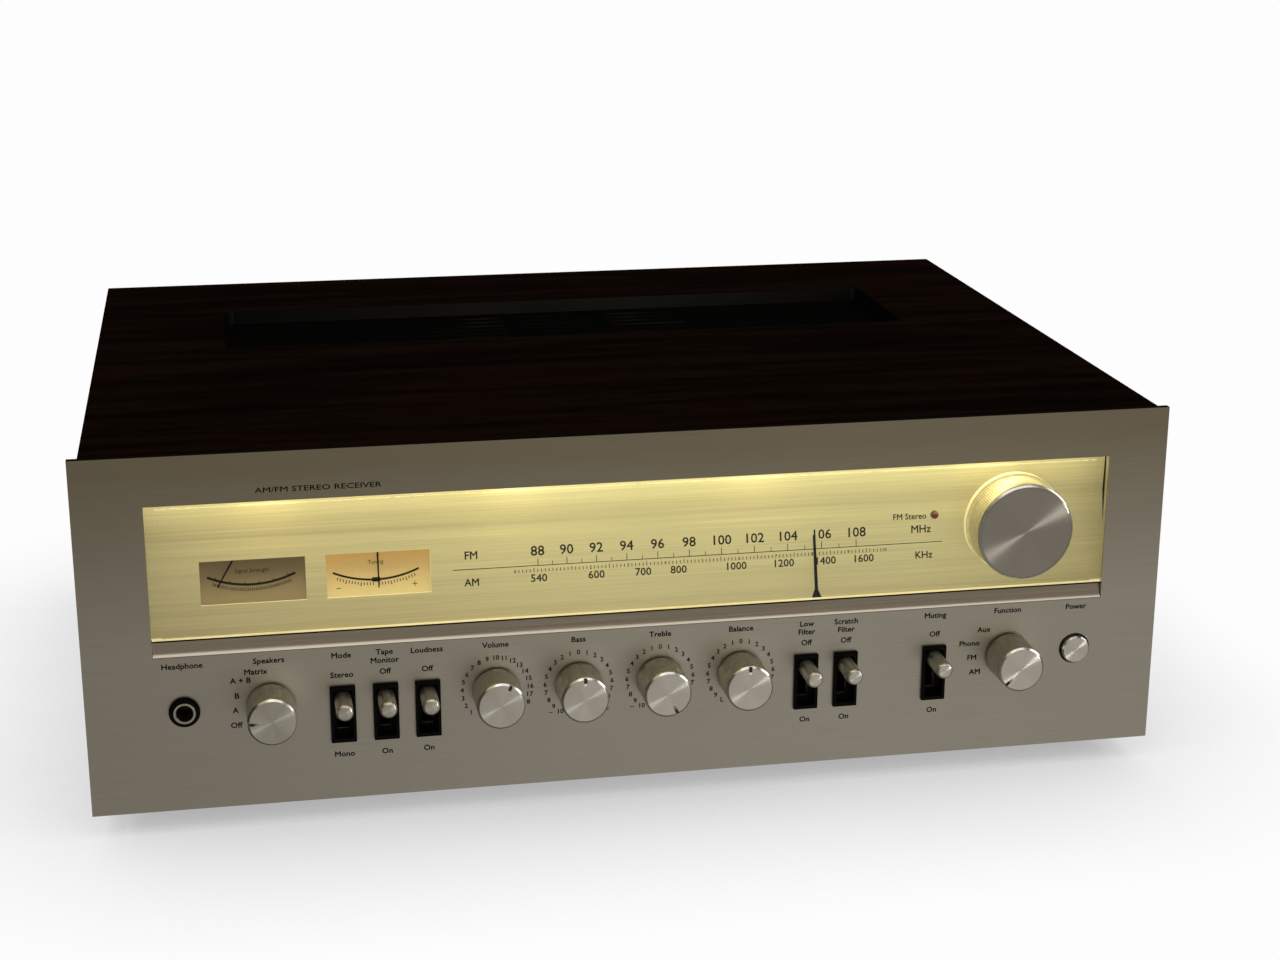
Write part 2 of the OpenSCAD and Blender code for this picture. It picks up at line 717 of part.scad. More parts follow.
// A round lever that slides down in its bezel; its neck reaches the switch behind the bracket.
module lever(x) {
  tip = 0.8;
  turned() seat() translate([x, 0, lever_z]) {
    translate([0, 2.4, 0]) rotate([90, 0, 0]) rotate_extrude()
      polygon([[0, 0], [lever_r, 0], [lever_r, lever_reach + 2.4 - tip], [lever_r - tip, lever_reach + 2.4],
               [0, lever_reach + 2.4]]);
    block([-lever_neck / 2, 2, -lever_neck / 2], [lever_neck / 2, 13, lever_neck / 2]);
  }
}

module mode_lever() { lever(lever_xs[0]); }
module tape_monitor_lever() { lever(lever_xs[1]); }
module loudness_lever() { lever(lever_xs[2]); }
module low_filter_lever() { lever(lever_xs[3]); }
module scratch_filter_lever() { lever(lever_xs[4]); }
module muting_lever() { lever(lever_xs[5]); }

module switch_bezels() {
  back = panel_t + 1.4;
  neck_w = lever_neck + 0.6;
  neck_h = lever_travel + lever_neck + 0.8;
  black() seat() for (x = lever_xs)
    translate([x, 0, lever_mid_z]) difference() {
      union() {
        block([-bezel_w / 2, -bezel_t, -bezel_h / 2], [bezel_w / 2, -touch, bezel_h / 2]);
        block([-bezel_w / 2 + 0.6, -bezel_t, -bezel_h / 2 + 0.7], [bezel_w / 2 - 0.6, back, bezel_h / 2 - 0.7]);
      }
      block([-well_w / 2, -bezel_t - cut, -well_h / 2], [well_w / 2, panel_t + 0.2, well_h / 2]);
      block([-neck_w / 2, 0, -neck_h / 2], [neck_w / 2, back + cut, neck_h / 2]);
    }
}

module switch_bodies() {
  front = bracket_y + sheet_t + touch;
  slide_h = lever_travel + lever_neck + 1;
  stem_gap = 0.06;
  color([0.35, 0.36, 0.38]) seat() {
    for (x = lever_xs)
      translate([x, 0, lever_mid_z]) difference() {
        block([-5, front, -15], [5, 23, 15]);
        block([-lever_neck / 2 - 0.3, front - cut, -slide_h / 2], [lever_neck / 2 + 0.3, 14, slide_h / 2]);
      }
    difference() {
      block([power_x - 9, front, power_z - 9], [power_x + 9, 34, power_z + 9]);
      rod_y(power_x, power_z, 2.5 + stem_gap, 0, 20);
    }
  }
}

module power_button() {
  turned() seat() translate([power_x, 4.2, power_z]) rotate([90, 0, 0])
    rotate_extrude()
      polygon([[0, -11.8], [2.5, -11.8], [2.5, 0], [power_r, 0], [power_r, 6.1], [power_r - 0.6, 6.7], [0, 6.7]]);
}

module headphone_jack() {
  black() seat() difference() {
    union() {
      rod_y(jack_x, row_z, bushing_r, -2.4, bracket_y + sheet_t + cut);
      rod_y(jack_x, row_z, 6.2, -1.8, -touch);
      block([jack_x - 9, bracket_y + sheet_t + touch, row_z - 8], [jack_x + 9, 38, row_z + 8]);
    }
    rod_y(jack_x, row_z, jack_r, -4, 34);
  }
}

// ---------------------------------------------------------------- electronics

module power_transformer() {
  color([0.25, 0.24, 0.24]) seat() translate([125, 250, tray_z + sheet_t + touch]) {
    block([-38, -20, 0], [38, 20, 66]);
    block([-26, -34, 10], [26, 34, 56]);
    for (side = [-1, 1])
      translate([side * 46, 0, 0]) block([-10, -20, 0], [10, 20, 2.5]);
  }
}

module heat_sink() {
  fins = 17;
  color([0.12, 0.12, 0.13]) seat() translate([-95, 262, 20]) {
    block([-68, 0, -16.7], [68, 4, 90]);
    for (i = [0:fins - 1])
      translate([-68 + i * 134.4 / (fins - 1), 0, 0]) block([0, -28, 0], [1.6, 1, 90]);
  }
}

module filter_capacitors() {
  color([0.10, 0.14, 0.35]) seat()
    for (x = [4, 44])
      translate([x, 250, tray_z + sheet_t + touch]) rotate_extrude()
        polygon([[0, 0], [17.5, 0], [17.5, 64], [16.5, 65], [14, 64.2], [0, 64.2]]);
}

// One board on four standoffs, with rows of upright and flat components.
module circuit_board(low, high, rows) {
  z = 14;
  t = 1.6;
  w = high[0] - low[0];
  d = high[1] - low[1];
  block([low[0], low[1], z], [high[0], high[1], z + t]);
  for (x = [low[0] + 6, high[0] - 6], y = [low[1] + 6, high[1] - 6])
    translate([x, y, tray_z + sheet_t + touch]) cylinder(r = 3, h = z - tray_z - sheet_t);
  for (i = [1:rows - 1]) {
    translate([low[0] + i * w / rows, low[1] + 0.30 * d, z]) cylinder(r = 4 + i % 3, h = 14 + 3 * (i % 2));
    translate([low[0] + i * w / rows, low[1] + 0.68 * d, z])
      block([-5, -8 + 2 * (i % 2), 0], [5, 8, 5 + 4 * (i % 3)]);
  }
}

module circuit_boards() {
  color([0.10, 0.25, 0.12]) seat() {
    circuit_board([-195, 60], [-25, 150], 9);
    circuit_board([-195, 162], [-25, 228], 9);
    circuit_board([70, 90], [195, 200], 7);
  }
}

// ---------------------------------------------------------------- rear of the set

rca_r = 4.15;
grommet_x = -185;
grommet_z = 30;
grommet_r = 7;
function jack_places() = [for (i = [0:3], j = [0:1]) [110 + i * 20, 28 + j * 18]];

rca_boss_r = rca_r + 1;

module rear_jacks() {
  reach = 10;
  face = back_y + sheet_t;
  color([0.75, 0.72, 0.65]) seat() difference() {
    union() {
      block([100, back_y - 4, 18], [180, back_y - 0.1, 56]);
      for (p = jack_places()) {
        rod_y(p[0], p[1], rca_boss_r, back_y - 3, face + 0.5);
        rod_y(p[0], p[1], rca_r, back_y - 3, face + reach);
      }
    }
    for (p = jack_places())
      rod_y(p[0], p[1], 1.6, face, face + reach + cut);
  }
}

module rear_terminals() {
  face = back_y + sheet_t;
  black() seat() {
    difference() {
      block([-59.8, back_y - 6, 38.2], [49.8, face + 5, 73.8]);
      for (i = [0:3], j = [0:1])
        rod_y(-44.5 + i * 26, 44 + j * 17, 2.4, face - 2, face + 5 + cut);
    }
    for (i = [0:3], j = [0:1])
      block([-48.5 + i * 26, face + 4, 49 + j * 17], [-40.5 + i * 26, face + 9, 54 + j * 17]);
    block([-60, face + touch, 92], [12, face + 4, 110]);
    for (i = [0:3])
      rod_y(-51 + i * 18, 101, 4, face + 3, face + 7);
  }
}

antenna_c = [190, 336];                             // pivot of the bar antenna, X and Y
antenna_z = 118;

module antenna_bracket() {
  face = back_y + sheet_t + touch;
  black() seat() difference() {
    union() {
      block([180, face, 104], [200, face + 1.5, 132]);
      for (z = [antenna_z - 8.5, antenna_z + 7])
        block([184, face, z], [196, antenna_c[1] + 6, z + 1.5]);
    }
    translate([antenna_c[0], antenna_c[1], 100]) cylinder(r = 2 + run_gap, h = 40);
  }
}

module am_antenna() {
  black() seat() {
    translate([antenna_c[0], antenna_c[1], antenna_z - 9]) cylinder(r = 2, h = 18);
    translate([antenna_c[0], antenna_c[1], antenna_z - 6.8]) cylinder(r = 5, h = 13.6);
    rod_x(antenna_c[1], antenna_z, 5, 60, antenna_c[0]);
    for (x = [52, 170])
      rod_x(antenna_c[1], antenna_z, reach_back - antenna_c[1], x, x + 8);
  }
}

// Mains cord: out through its grommet, down to the table and along the back to the plug.
module power_cord() {
  r = 3.2;
  bend = 10;
  run_y = back_y + 16;
  floor_z = -foot_h + r + 0.2;
  black() seat() {
    rod_y(grommet_x, grommet_z, grommet_r, back_y - 1, back_y + sheet_t);
    rod_y(grommet_x, grommet_z, grommet_r + 2, back_y + sheet_t + touch, back_y + sheet_t + 4);
    rod_y(grommet_x, grommet_z, r, back_y - 8, run_y - bend);
    translate([grommet_x, run_y - bend, grommet_z - bend]) rotate([90, 0, 90])
      rotate_extrude(angle = 90) translate([bend, 0]) circle(r = r);
    translate([grommet_x, run_y, floor_z + bend]) cylinder(r = r, h = grommet_z - 2 * bend - floor_z);
    translate([grommet_x + bend, run_y, floor_z + bend]) rotate([90, 180, 0])
      rotate_extrude(angle = 90) translate([bend, 0]) circle(r = r);
    rod_x(run_y, floor_z, r, grommet_x + bend, 20);
    block([20, run_y - 9, -foot_h + 0.4], [48, run_y + 9, -foot_h + 14.4]);
    for (side = [-1, 1])
      block([48 - cut, run_y + side * 6.3 - 0.8, -foot_h + 4.2], [64, run_y + side * 6.3 + 0.8, -foot_h + 10.6]);
  }
}

chassis();
rear_panel();
front_bracket();
faceplate();
window_sill();
dial_lens();
dial_plate();
dial_lamps();
stereo_lamp();
meter_cases();
meter_scales();
signal_needle();
tuning_needle();
tuning_knob();
tuning_shaft();
flywheel();
dial_pointer();
dial_cord();
dial_drum();
capacitor_rotor();
tuning_capacitor();
left_pulley();
right_pulley();
speakers_knob();
speakers_shaft();
volume_knob();
volume_shaft();
bass_knob();
bass_shaft();
treble_knob();
treble_shaft();
balance_knob();
balance_shaft();
function_knob();
function_shaft();
rotary_switches();
control_pots();
mode_lever();
tape_monitor_lever();
loudness_lever();
low_filter_lever();
scratch_filter_lever();
muting_lever();
power_button();
switch_bezels();
switch_bodies();
headphone_jack();
cabinet_cover();
vent_grille();
feet();
power_transformer();
heat_sink();
filter_capacitors();
circuit_boards();
rear_jacks();
rear_terminals();
antenna_bracket();
am_antenna();
power_cord();
screws();
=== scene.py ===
"""Looks of the stereo receiver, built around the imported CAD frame.

Pieces are drawn in millimetres in the panel's own layout (X from the centre line, Y back from the front of
the faceplate, Z up from its lower edge) and finished in metres in the frame's axes.
"""

import json
import math

import bmesh
import bpy
from mathutils import Matrix, Vector

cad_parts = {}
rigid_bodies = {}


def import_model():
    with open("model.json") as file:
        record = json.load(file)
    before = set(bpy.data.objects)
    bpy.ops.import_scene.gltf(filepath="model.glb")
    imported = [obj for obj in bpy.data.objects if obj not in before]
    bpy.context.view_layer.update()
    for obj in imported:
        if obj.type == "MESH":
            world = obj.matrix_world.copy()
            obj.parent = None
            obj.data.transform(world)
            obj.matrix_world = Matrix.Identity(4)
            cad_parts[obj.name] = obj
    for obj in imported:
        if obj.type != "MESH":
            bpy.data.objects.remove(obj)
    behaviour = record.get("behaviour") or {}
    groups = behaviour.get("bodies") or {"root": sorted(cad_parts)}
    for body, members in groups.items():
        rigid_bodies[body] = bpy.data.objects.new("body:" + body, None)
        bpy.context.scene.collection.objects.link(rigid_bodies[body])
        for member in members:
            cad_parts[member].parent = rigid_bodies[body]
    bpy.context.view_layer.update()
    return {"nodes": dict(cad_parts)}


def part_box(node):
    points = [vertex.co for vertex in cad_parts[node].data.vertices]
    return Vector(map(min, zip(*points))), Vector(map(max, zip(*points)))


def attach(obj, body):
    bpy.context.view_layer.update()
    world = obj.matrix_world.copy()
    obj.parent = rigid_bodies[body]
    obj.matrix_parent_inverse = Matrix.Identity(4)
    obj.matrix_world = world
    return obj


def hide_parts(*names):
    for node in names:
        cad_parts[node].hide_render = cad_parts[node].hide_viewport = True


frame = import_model()

MM = 0.001
PANEL_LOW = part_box("faceplate")[0]
ORIGIN = Vector((0.0, PANEL_LOW.y, PANEL_LOW.z))


def mm_box(node):
    """A CAD node's lowest and highest corners, in panel millimetres."""
    low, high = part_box(node)
    return (low - ORIGIN) / MM, (high - ORIGIN) / MM


def middle(node):
    low, high = mm_box(node)
    return (low + high) / 2


KNOB_NODES = ("speakers", "volume", "bass", "treble", "balance", "function")
LEVER_NODES = ("mode", "tape_monitor", "loudness", "low_filter", "scratch_filter", "muting")
NOTCH_TURN = {"speakers": 92, "volume": -25, "bass": 0, "treble": -155, "balance": 0, "function": 134}
ROW_Z = middle("volume_shaft").z
KNOB_R = (mm_box("volume_knob")[1].x - mm_box("volume_knob")[0].x) / 2
TUNING = middle("tuning_shaft")
DIAL_Y, DIAL_Z = 7.2, 66.0
LEAN = math.radians(10)
SIGNAL_X = -156.5
CENTRE_X = middle("tuning_needle").x
CARD_DEPTH = 3.4
# The camera, in panel millimetres from ORIGIN
CAMERA_AT = (-161.23, -843.82, 392.43)
CAMERA_FORWARD = (0.17846, 0.93945, -0.29256)
CAMERA_RIGHT = (0.98256, -0.18593, 0.00229)
# The pieces that the light behind acts on
REAR_PARTS = ("rear_", "phono_", "antenna_", "am_antenna", "power_cord")
# Colour that the camera sees behind the object, and the room the object sees: from straight behind it (0)
# to the bright side in front of it (1)
BACKDROP = (0.985, 0.985, 0.985)
ROOM_GLOW = ((0.0, (0.006, 0.005, 0.005)), (0.45, (0.012, 0.011, 0.009)), (0.75, (0.18, 0.165, 0.135)),
             (0.92, (0.24, 0.222, 0.186)), (1.0, (0.29, 0.272, 0.236)))
ROOM_FRONT = (0.25, -0.90, -0.36)


# ------------------------------------------------------------------ materials

def material(name, **inputs):
    """A material whose Principled shader starts with the given inputs, underscores standing for spaces."""
    mat = bpy.data.materials.new(name)
    mat.use_nodes = True
    connect(mat, **inputs)
    return mat


def set_input(mat, node, key, value):
    socket = node.inputs[key]
    if isinstance(value, bpy.types.NodeSocket):
        mat.node_tree.links.new(value, socket)
    elif socket.type == "RGBA" and len(value) == 3:
        socket.default_value = (*value, 1.0)
    else:
        socket.default_value = value


def node(mat, kind, inputs=None, **props):
    made = mat.node_tree.nodes.new("ShaderNode" + kind)
    for key, value in props.items():
        setattr(made, key, value)
    for key, value in (inputs or {}).items():
        set_input(mat, made, key, value)
    return made


def principled(mat):
    return mat.node_tree.nodes["Principled BSDF"]


def connect(mat, **inputs):
    for key, value in inputs.items():
        set_input(mat, principled(mat), key.replace("_", " "), value)


def coords(mat, scale, kind="Object"):
    """Object coordinates times a scale per axis: a small scale stretches the pattern along that axis."""
    source = node(mat, "TexCoord").outputs[kind]
    return node(mat, "Mapping", {"Vector": source, "Scale": scale}).outputs["Vector"]


def noise(mat, scale, size=1.0, detail=3.0, roughness=0.55):
    made = node(mat, "TexNoise", {"Vector": coords(mat, scale), "Scale": size, "Detail": detail,
                                  "Roughness": roughness})
    return made.outputs["Fac"]


def remap(mat, value, low, high, out_low, out_high):
    made = node(mat, "MapRange", {"Value": value, "From Min": low, "From Max": high,
                                  "To Min": out_low, "To Max": out_high})
    return made.outputs["Result"]


def spread(mat, value, low, high):
    """Maps the middle of a noise's range to low and high."""
    return remap(mat, value, 0.3, 0.7, low, high)


def scaled(colour, factor, added=0.0):
    return tuple(min(1.0, c * factor + added) for c in colour)


def dark_plastic(name, colour, roughness):
    """Plastic deep in shadow: black, with hardly any gloss."""
    mat = material(name, Specular_IOR_Level=0.12)
    grain = noise(mat, (2500, 2500, 2500), detail=2)
    broad = noise(mat, (60, 60, 60), detail=3)
    connect(mat, Base_Color=ramp(mat, broad, (0.3, scaled(colour, 0.7)), (0.7, colour)),
            Roughness=spread(mat, broad, roughness * 0.9, roughness * 1.1),
            Normal=bump(mat, grain, 0.00002, 0.3))
    return mat


def ramp(mat, value, *stops):
    """A colour ramp through (position, colour) stops."""
    made = node(mat, "ValToRGB", {"Fac": value})
    elements = made.color_ramp.elements
    while len(elements) < len(stops):
        elements.new(0.5)
    for element, (position, colour) in zip(elements, stops):
        element.position = position
        element.color = (*colour, 1.0)
    return made.outputs["Color"]


def mix(mat, fac, a, b, blend="MIX"):
    made = node(mat, "MixRGB", {"Fac": fac, "Color1": a, "Color2": b}, blend_type=blend)
    return made.outputs["Color"]


def multiply(mat, a, b):
    return mix(mat, 1.0, a, b, "MULTIPLY")


def bump(mat, height, distance, strength):
    return node(mat, "Bump", {"Height": height, "Distance": distance, "Strength": strength}).outputs["Normal"]


def along_x(mat):
    """The direction of straight brushing: left to right."""
    return node(mat, "CombineXYZ", {"X": 1.0}).outputs["Vector"]


def maths(mat, operation, a, b=0.0):
    made = node(mat, "Math", operation=operation)
    set_input(mat, made, 0, a)
    set_input(mat, made, 1, b)
    return made.outputs[0]


def axis_value(mat, axis, kind="Object"):
    source = node(mat, "TexCoord").outputs[kind]
    return node(mat, "SeparateXYZ", {"Vector": source}).outputs[axis]


def wear(mat, radius=0.0008):
    """Brighter where an edge is convex: the normal at a small radius against the true normal."""
    round_normal = node(mat, "Bevel", {"Radius": radius}, samples=4).outputs["Normal"]
    true_normal = node(mat, "NewGeometry").outputs["Normal"]
    facing = node(mat, "VectorMath", {0: round_normal, 1: true_normal}, operation="DOT_PRODUCT")
    return remap(mat, facing.outputs["Value"], 0.98, 0.75, 0.0, 1.0)


def make_faceplate_metal():
    mat = material("satin_panel", Metallic=1.0, Roughness=0.42, Anisotropic=0.35)
    brush = noise(mat, (30, 30, 2600), detail=4)
    cloud = noise(mat, (9, 9, 9), detail=2)
    tone = ramp(mat, brush, (0.3, (0.60, 0.57, 0.51)), (0.7, (0.66, 0.63, 0.57)))
    smudge = ramp(mat, cloud, (0.35, (0.93, 0.93, 0.94)), (0.7, (1.0, 1.0, 1.0)))
    # Painted shade: the panel's colour darkens and warms towards its top.
    upward = axis_value(mat, "Z", "Generated")
    shade = ramp(mat, upward, (0.45, (1.0, 1.0, 1.0)), (0.95, (0.62, 0.57, 0.47)))
    connect(mat, Base_Color=multiply(mat, multiply(mat, tone, smudge), shade),
            Roughness=spread(mat, cloud, 0.40, 0.46),
            Normal=bump(mat, brush, 0.00002, 0.5),
            Tangent=along_x(mat))
    return mat


def make_polished_metal():
    mat = material("polished_metal", Metallic=1.0, Roughness=0.16)
    brush = noise(mat, (12, 900, 900), detail=3)
    connect(mat, Base_Color=ramp(mat, brush, (0.3, (0.56, 0.495, 0.42)), (0.7, (0.62, 0.55, 0.47))),
            Roughness=spread(mat, brush, 0.13, 0.22),
            Normal=bump(mat, brush, 0.00001, 0.3))
    return mat


def make_turned_metal(name, colour, roughness):
    """Metal turned on a lathe about Y: fine rings, and the fan of light that they give."""
    mat = material(name, Metallic=1.0, Anisotropic=0.97, Anisotropic_Rotation=0.25)
    generated = node(mat, "TexCoord").outputs["Generated"]
    centred = node(mat, "VectorMath", {0: generated, 1: (0.5, 0.0, 0.5)}, operation="SUBTRACT")
    flat = node(mat, "VectorMath", {0: centred.outputs["Vector"], 1: (1.0, 0.0, 1.0)}, operation="MULTIPLY")
    radius = node(mat, "VectorMath", {0: flat.outputs["Vector"]}, operation="LENGTH").outputs["Value"]
    groove = node(mat, "TexNoise", {"W": maths(mat, "MULTIPLY", radius, 220.0), "Detail": 2.0},
                  noise_dimensions="1D").outputs["Fac"]
    tangent = node(mat, "Tangent", direction_type="RADIAL", axis="Y").outputs["Tangent"]
    darker = scaled(colour, 0.86)
    connect(mat, Base_Color=ramp(mat, groove, (0.35, darker), (0.65, colour)),
            Roughness=spread(mat, groove, roughness * 0.85, roughness * 1.2),
            Normal=bump(mat, groove, 0.00001, 0.25),
            Tangent=tangent)
    return mat


def make_knurl_metal():
    mat = material("knurled_metal", Metallic=1.0, Roughness=0.34)
    grime = noise(mat, (400, 400, 400), detail=4)
    connect(mat, Base_Color=ramp(mat, grime, (0.35, (0.66, 0.63, 0.53)), (0.65, (0.82, 0.79, 0.69))),
            Roughness=spread(mat, grime, 0.28, 0.45),
            Normal=bump(mat, grime, 0.00003, 0.3))
    return mat


def make_dial_gold():
    """The brushed dial, lit by its lamps, with that light painted on as its own glow: brightest along its top
    edge and dimmer towards its ends.
    """
    mat = material("dial_gold", Metallic=0.3, Roughness=0.5, Anisotropic=0.6)
    brush = noise(mat, (14, 260, 1900), detail=5, roughness=0.65)
    streak = noise(mat, (3, 60, 300), detail=3)
    tone = ramp(mat, brush, (0.30, (0.82, 0.715, 0.345)), (0.70, (0.97, 0.875, 0.47)))
    shade = ramp(mat, streak, (0.35, (0.92, 0.92, 0.92)), (0.65, (1.0, 1.0, 1.0)))
    gold = multiply(mat, tone, shade)
    upward = axis_value(mat, "Z", "Generated")
    across = axis_value(mat, "X", "Generated")
    # Painted light and shade: the glow's strength up and across the plate, with a darker step at the lower
    # edge of the top band.
    lit_up = ramp(mat, upward, (0.0, (0.95, 0.92, 0.85)), (0.12, (0.72, 0.72, 0.72)),
                  (0.59, (0.80, 0.82, 0.80)), (0.605, (0.64, 0.64, 0.64)), (0.80, (1.05, 1.10, 1.05)),
                  (0.92, (1.5, 1.64, 1.5)), (1.0, (2.2, 2.4, 2.2)))
    lit_across = ramp(mat, across, (0.0, (0.56, 0.54, 0.60)), (0.12, (0.76, 0.74, 0.78)),
                      (0.45, (1.0, 1.0, 1.0)), (0.8, (0.88, 0.90, 0.92)), (1.0, (0.55, 0.53, 0.50)))
    glow = multiply(mat, multiply(mat, gold, lit_up), lit_across)
    connect(mat, Base_Color=multiply(mat, gold, (0.62, 0.62, 0.62)),
            Emission_Color=glow, Emission_Strength=0.56,
            Roughness=spread(mat, brush, 0.42, 0.56),
            Normal=bump(mat, brush, 0.00003, 0.5),
            Tangent=along_x(mat))
    return mat


def make_walnut():
    """Dark veneer: its figure runs left to right over the top and carries on down the sides."""
    mat = material("walnut", Roughness=0.5)
    geometry = node(mat, "NewGeometry").outputs["Normal"]
    facing = node(mat, "SeparateXYZ", {"Vector": geometry}).outputs["X"]
    side = maths(mat, "GREATER_THAN", maths(mat, "ABSOLUTE", facing), 0.7)
    along = mix(mat, side, coords(mat, (2.2, 26, 26)), coords(mat, (26, 26, 2.2)))
    warp = node(mat, "TexNoise", {"Vector": along, "Scale": 0.9, "Detail": 3.0}).outputs["Color"]
    bent = mix(mat, 0.25, along, warp, "ADD")
    figure = node(mat, "TexNoise", {"Vector": bent, "Scale": 3.2, "Detail": 8.0, "Roughness": 0.62,
                                    "Distortion": 0.4}).outputs["Fac"]
    pores_at = mix(mat, side, coords(mat, (30, 1400, 1400)), coords(mat, (1400, 1400, 30)))
    pores = node(mat, "TexNoise", {"Vector": pores_at, "Scale": 1.0, "Detail": 2.0}).outputs["Fac"]
    wood = ramp(mat, figure, (0.28, (0.020, 0.008, 0.003)), (0.46, (0.060, 0.026, 0.011)),
                (0.60, (0.120, 0.054, 0.024)), (0.80, (0.040, 0.017, 0.007)))
    pit = remap(mat, pores, 0.56, 0.66, 0.0, 1.0)
    dark = mix(mat, maths(mat, "MULTIPLY", pit, 0.6), wood, (0.006, 0.003, 0.0015))
    connect(mat, Base_Color=dark, Roughness=spread(mat, figure, 0.50, 0.62),
            Normal=bump(mat, maths(mat, "SUBTRACT", 1.0, pit), 0.00005, 0.4), Specular_IOR_Level=0.25)
    return mat


def make_plastic(name, colour, roughness, grain=2500, depth=0.00003, strength=0.4):
    """Moulded plastic or paint: a fine even grain, slightly uneven gloss and paler worn edges."""
    mat = material(name)
    fine = noise(mat, (grain, grain, grain), detail=2)
    broad = noise(mat, (40, 40, 40), detail=3)
    pale = scaled(colour, 1.8, 0.03)
    base = ramp(mat, broad, (0.3, scaled(colour, 0.85)), (0.7, colour))
    connect(mat, Base_Color=mix(mat, maths(mat, "MULTIPLY", wear(mat), 0.35), base, pale),
            Roughness=spread(mat, broad, roughness * 0.85, min(1.0, roughness * 1.15)),
            Normal=bump(mat, fine, depth, strength))
    return mat


def make_sheet_metal(name, colour, roughness, spangle=180):
    """Plated or machined steel with a faint spangle and directional marks."""
    mat = material(name, Metallic=1.0)
    cells = node(mat, "TexVoronoi", {"Vector": coords(mat, (1, 1, 1)), "Scale": spangle}).outputs["Color"]
    value = node(mat, "SeparateColor", {"Color": cells}).outputs["Red"]
    marks = noise(mat, (900, 60, 60), detail=3)
    base = ramp(mat, value, (0.0, scaled(colour, 0.86)), (1.0, colour))
    connect(mat, Base_Color=base, Roughness=spread(mat, marks, roughness * 0.8, roughness * 1.25),
            Normal=bump(mat, marks, 0.00001, 0.3))
    return mat


def make_cloth_cord():
    mat = material("cord_fibre", Roughness=0.8, Sheen_Weight=0.3)
    braid = node(mat, "TexWave", {"Vector": coords(mat, (1400, 1400, 1400)), "Scale": 1.0, "Distortion": 2.0},
                 wave_type="BANDS", bands_direction="DIAGONAL").outputs["Fac"]
    connect(mat, Base_Color=ramp(mat, braid, (0.3, (0.02, 0.02, 0.015)), (0.7, (0.12, 0.11, 0.08))),
            Normal=bump(mat, braid, 0.00008, 0.6))
    return mat


def make_board():
    """Circuit board: green mask with tracks below, and parts told apart by their height above it."""
    mat = material("board_green", Roughness=0.35)
    height = axis_value(mat, "Z")
    above = maths(mat, "GREATER_THAN", height, (15.8 * MM) + ORIGIN.z)
    blocks = node(mat, "TexVoronoi", {"Vector": coords(mat, (1, 1, 0.01)), "Scale": 55}).outputs["Color"]
    pick = node(mat, "SeparateColor", {"Color": blocks}).outputs["Green"]
    parts = ramp(mat, pick, (0.0, (0.02, 0.05, 0.20)), (0.35, (0.30, 0.12, 0.02)), (0.6, (0.02, 0.02, 0.02)),
                 (0.9, (0.35, 0.30, 0.18)))
    tracks = node(mat, "TexWave", {"Vector": coords(mat, (350, 350, 1)), "Scale": 1.0, "Distortion": 6.0,
                                   "Detail": 1.0}).outputs["Fac"]
    mask = ramp(mat, tracks, (0.45, (0.015, 0.09, 0.03)), (0.55, (0.04, 0.17, 0.06)))
    connect(mat, Base_Color=mix(mat, above, mask, parts), Normal=bump(mat, tracks, 0.00003, 0.3))
    return mat


def make_card(name, low_colour, high_colour, glow):
    """A meter's printed card, lit from below through its edge, with that light painted on: it glows, paler at
    the bottom than at the top.
    """
    mat = material(name, Roughness=0.7)
    height = axis_value(mat, "Z", "Generated")
    paper = noise(mat, (1200, 1200, 1200), detail=3)
    tone = ramp(mat, height, (0.12, low_colour), (0.50, high_colour))
    fleck = ramp(mat, paper, (0.3, (0.94, 0.94, 0.93)), (0.7, (1.0, 1.0, 1.0)))
    colour = multiply(mat, tone, fleck)
    connect(mat, Base_Color=colour, Emission_Color=colour, Emission_Strength=glow,
            Normal=bump(mat, paper, 0.00002, 0.3))
    return mat


def make_clear():
    """Thin clear acrylic: mostly lets light straight through, with a faint mirror and a light haze."""
    mat = material("clear_acrylic")
    tree = mat.node_tree
    haze = noise(mat, (60, 60, 60), detail=3)
    clear = node(mat, "BsdfTransparent", {"Color": (0.985, 0.985, 0.965)})
    gloss = node(mat, "BsdfGlossy", {"Color": (1, 1, 1), "Roughness": spread(mat, haze, 0.02, 0.08)})
    fresnel = node(mat, "Fresnel", {"IOR": 1.45})
    share = maths(mat, "MULTIPLY", fresnel.outputs["Fac"], 0.5)
    blend = node(mat, "MixShader")
    tree.links.new(share, blend.inputs[0])
    tree.links.new(clear.outputs[0], blend.inputs[1])
    tree.links.new(gloss.outputs[0], blend.inputs[2])
    tree.links.new(blend.outputs[0], tree.nodes["Material Output"].inputs["Surface"])
    tree.nodes.remove(principled(mat))
    return mat


def make_lit_edge():
    """Painted glow for the lens's cut edges, where the dial lamps' light comes out, and for some of the dial
    plate's cut edges.
    """
    mat = material("lit_edge", Roughness=0.3)
    along = noise(mat, (25, 25, 25), detail=3)
    colour = ramp(mat, along, (0.3, (0.88, 0.74, 0.36)), (0.7, (1.0, 0.93, 0.62)))
    connect(mat, Base_Color=colour, Emission_Color=colour, Emission_Strength=0.5)
    return mat


def make_lamp_glass():
    mat = material("lamp_glass", Roughness=0.2)
    frost = noise(mat, (300, 300, 300), detail=2)
    colour = ramp(mat, frost, (0.3, (1.0, 0.82, 0.45)), (0.7, (1.0, 0.90, 0.60)))
    connect(mat, Base_Color=colour, Emission_Color=colour, Emission_Strength=6.0)
    return mat


def make_ink(name, colour, roughness=0.5):
    mat = material(name, Specular_IOR_Level=0.08)
    grain = noise(mat, (3000, 3000, 3000), detail=2)
    connect(mat, Base_Color=ramp(mat, grain, (0.3, colour), (0.75, scaled(colour, 1.5, 0.002))),
            Roughness=spread(mat, grain, roughness * 0.9, roughness * 1.1))
    return mat


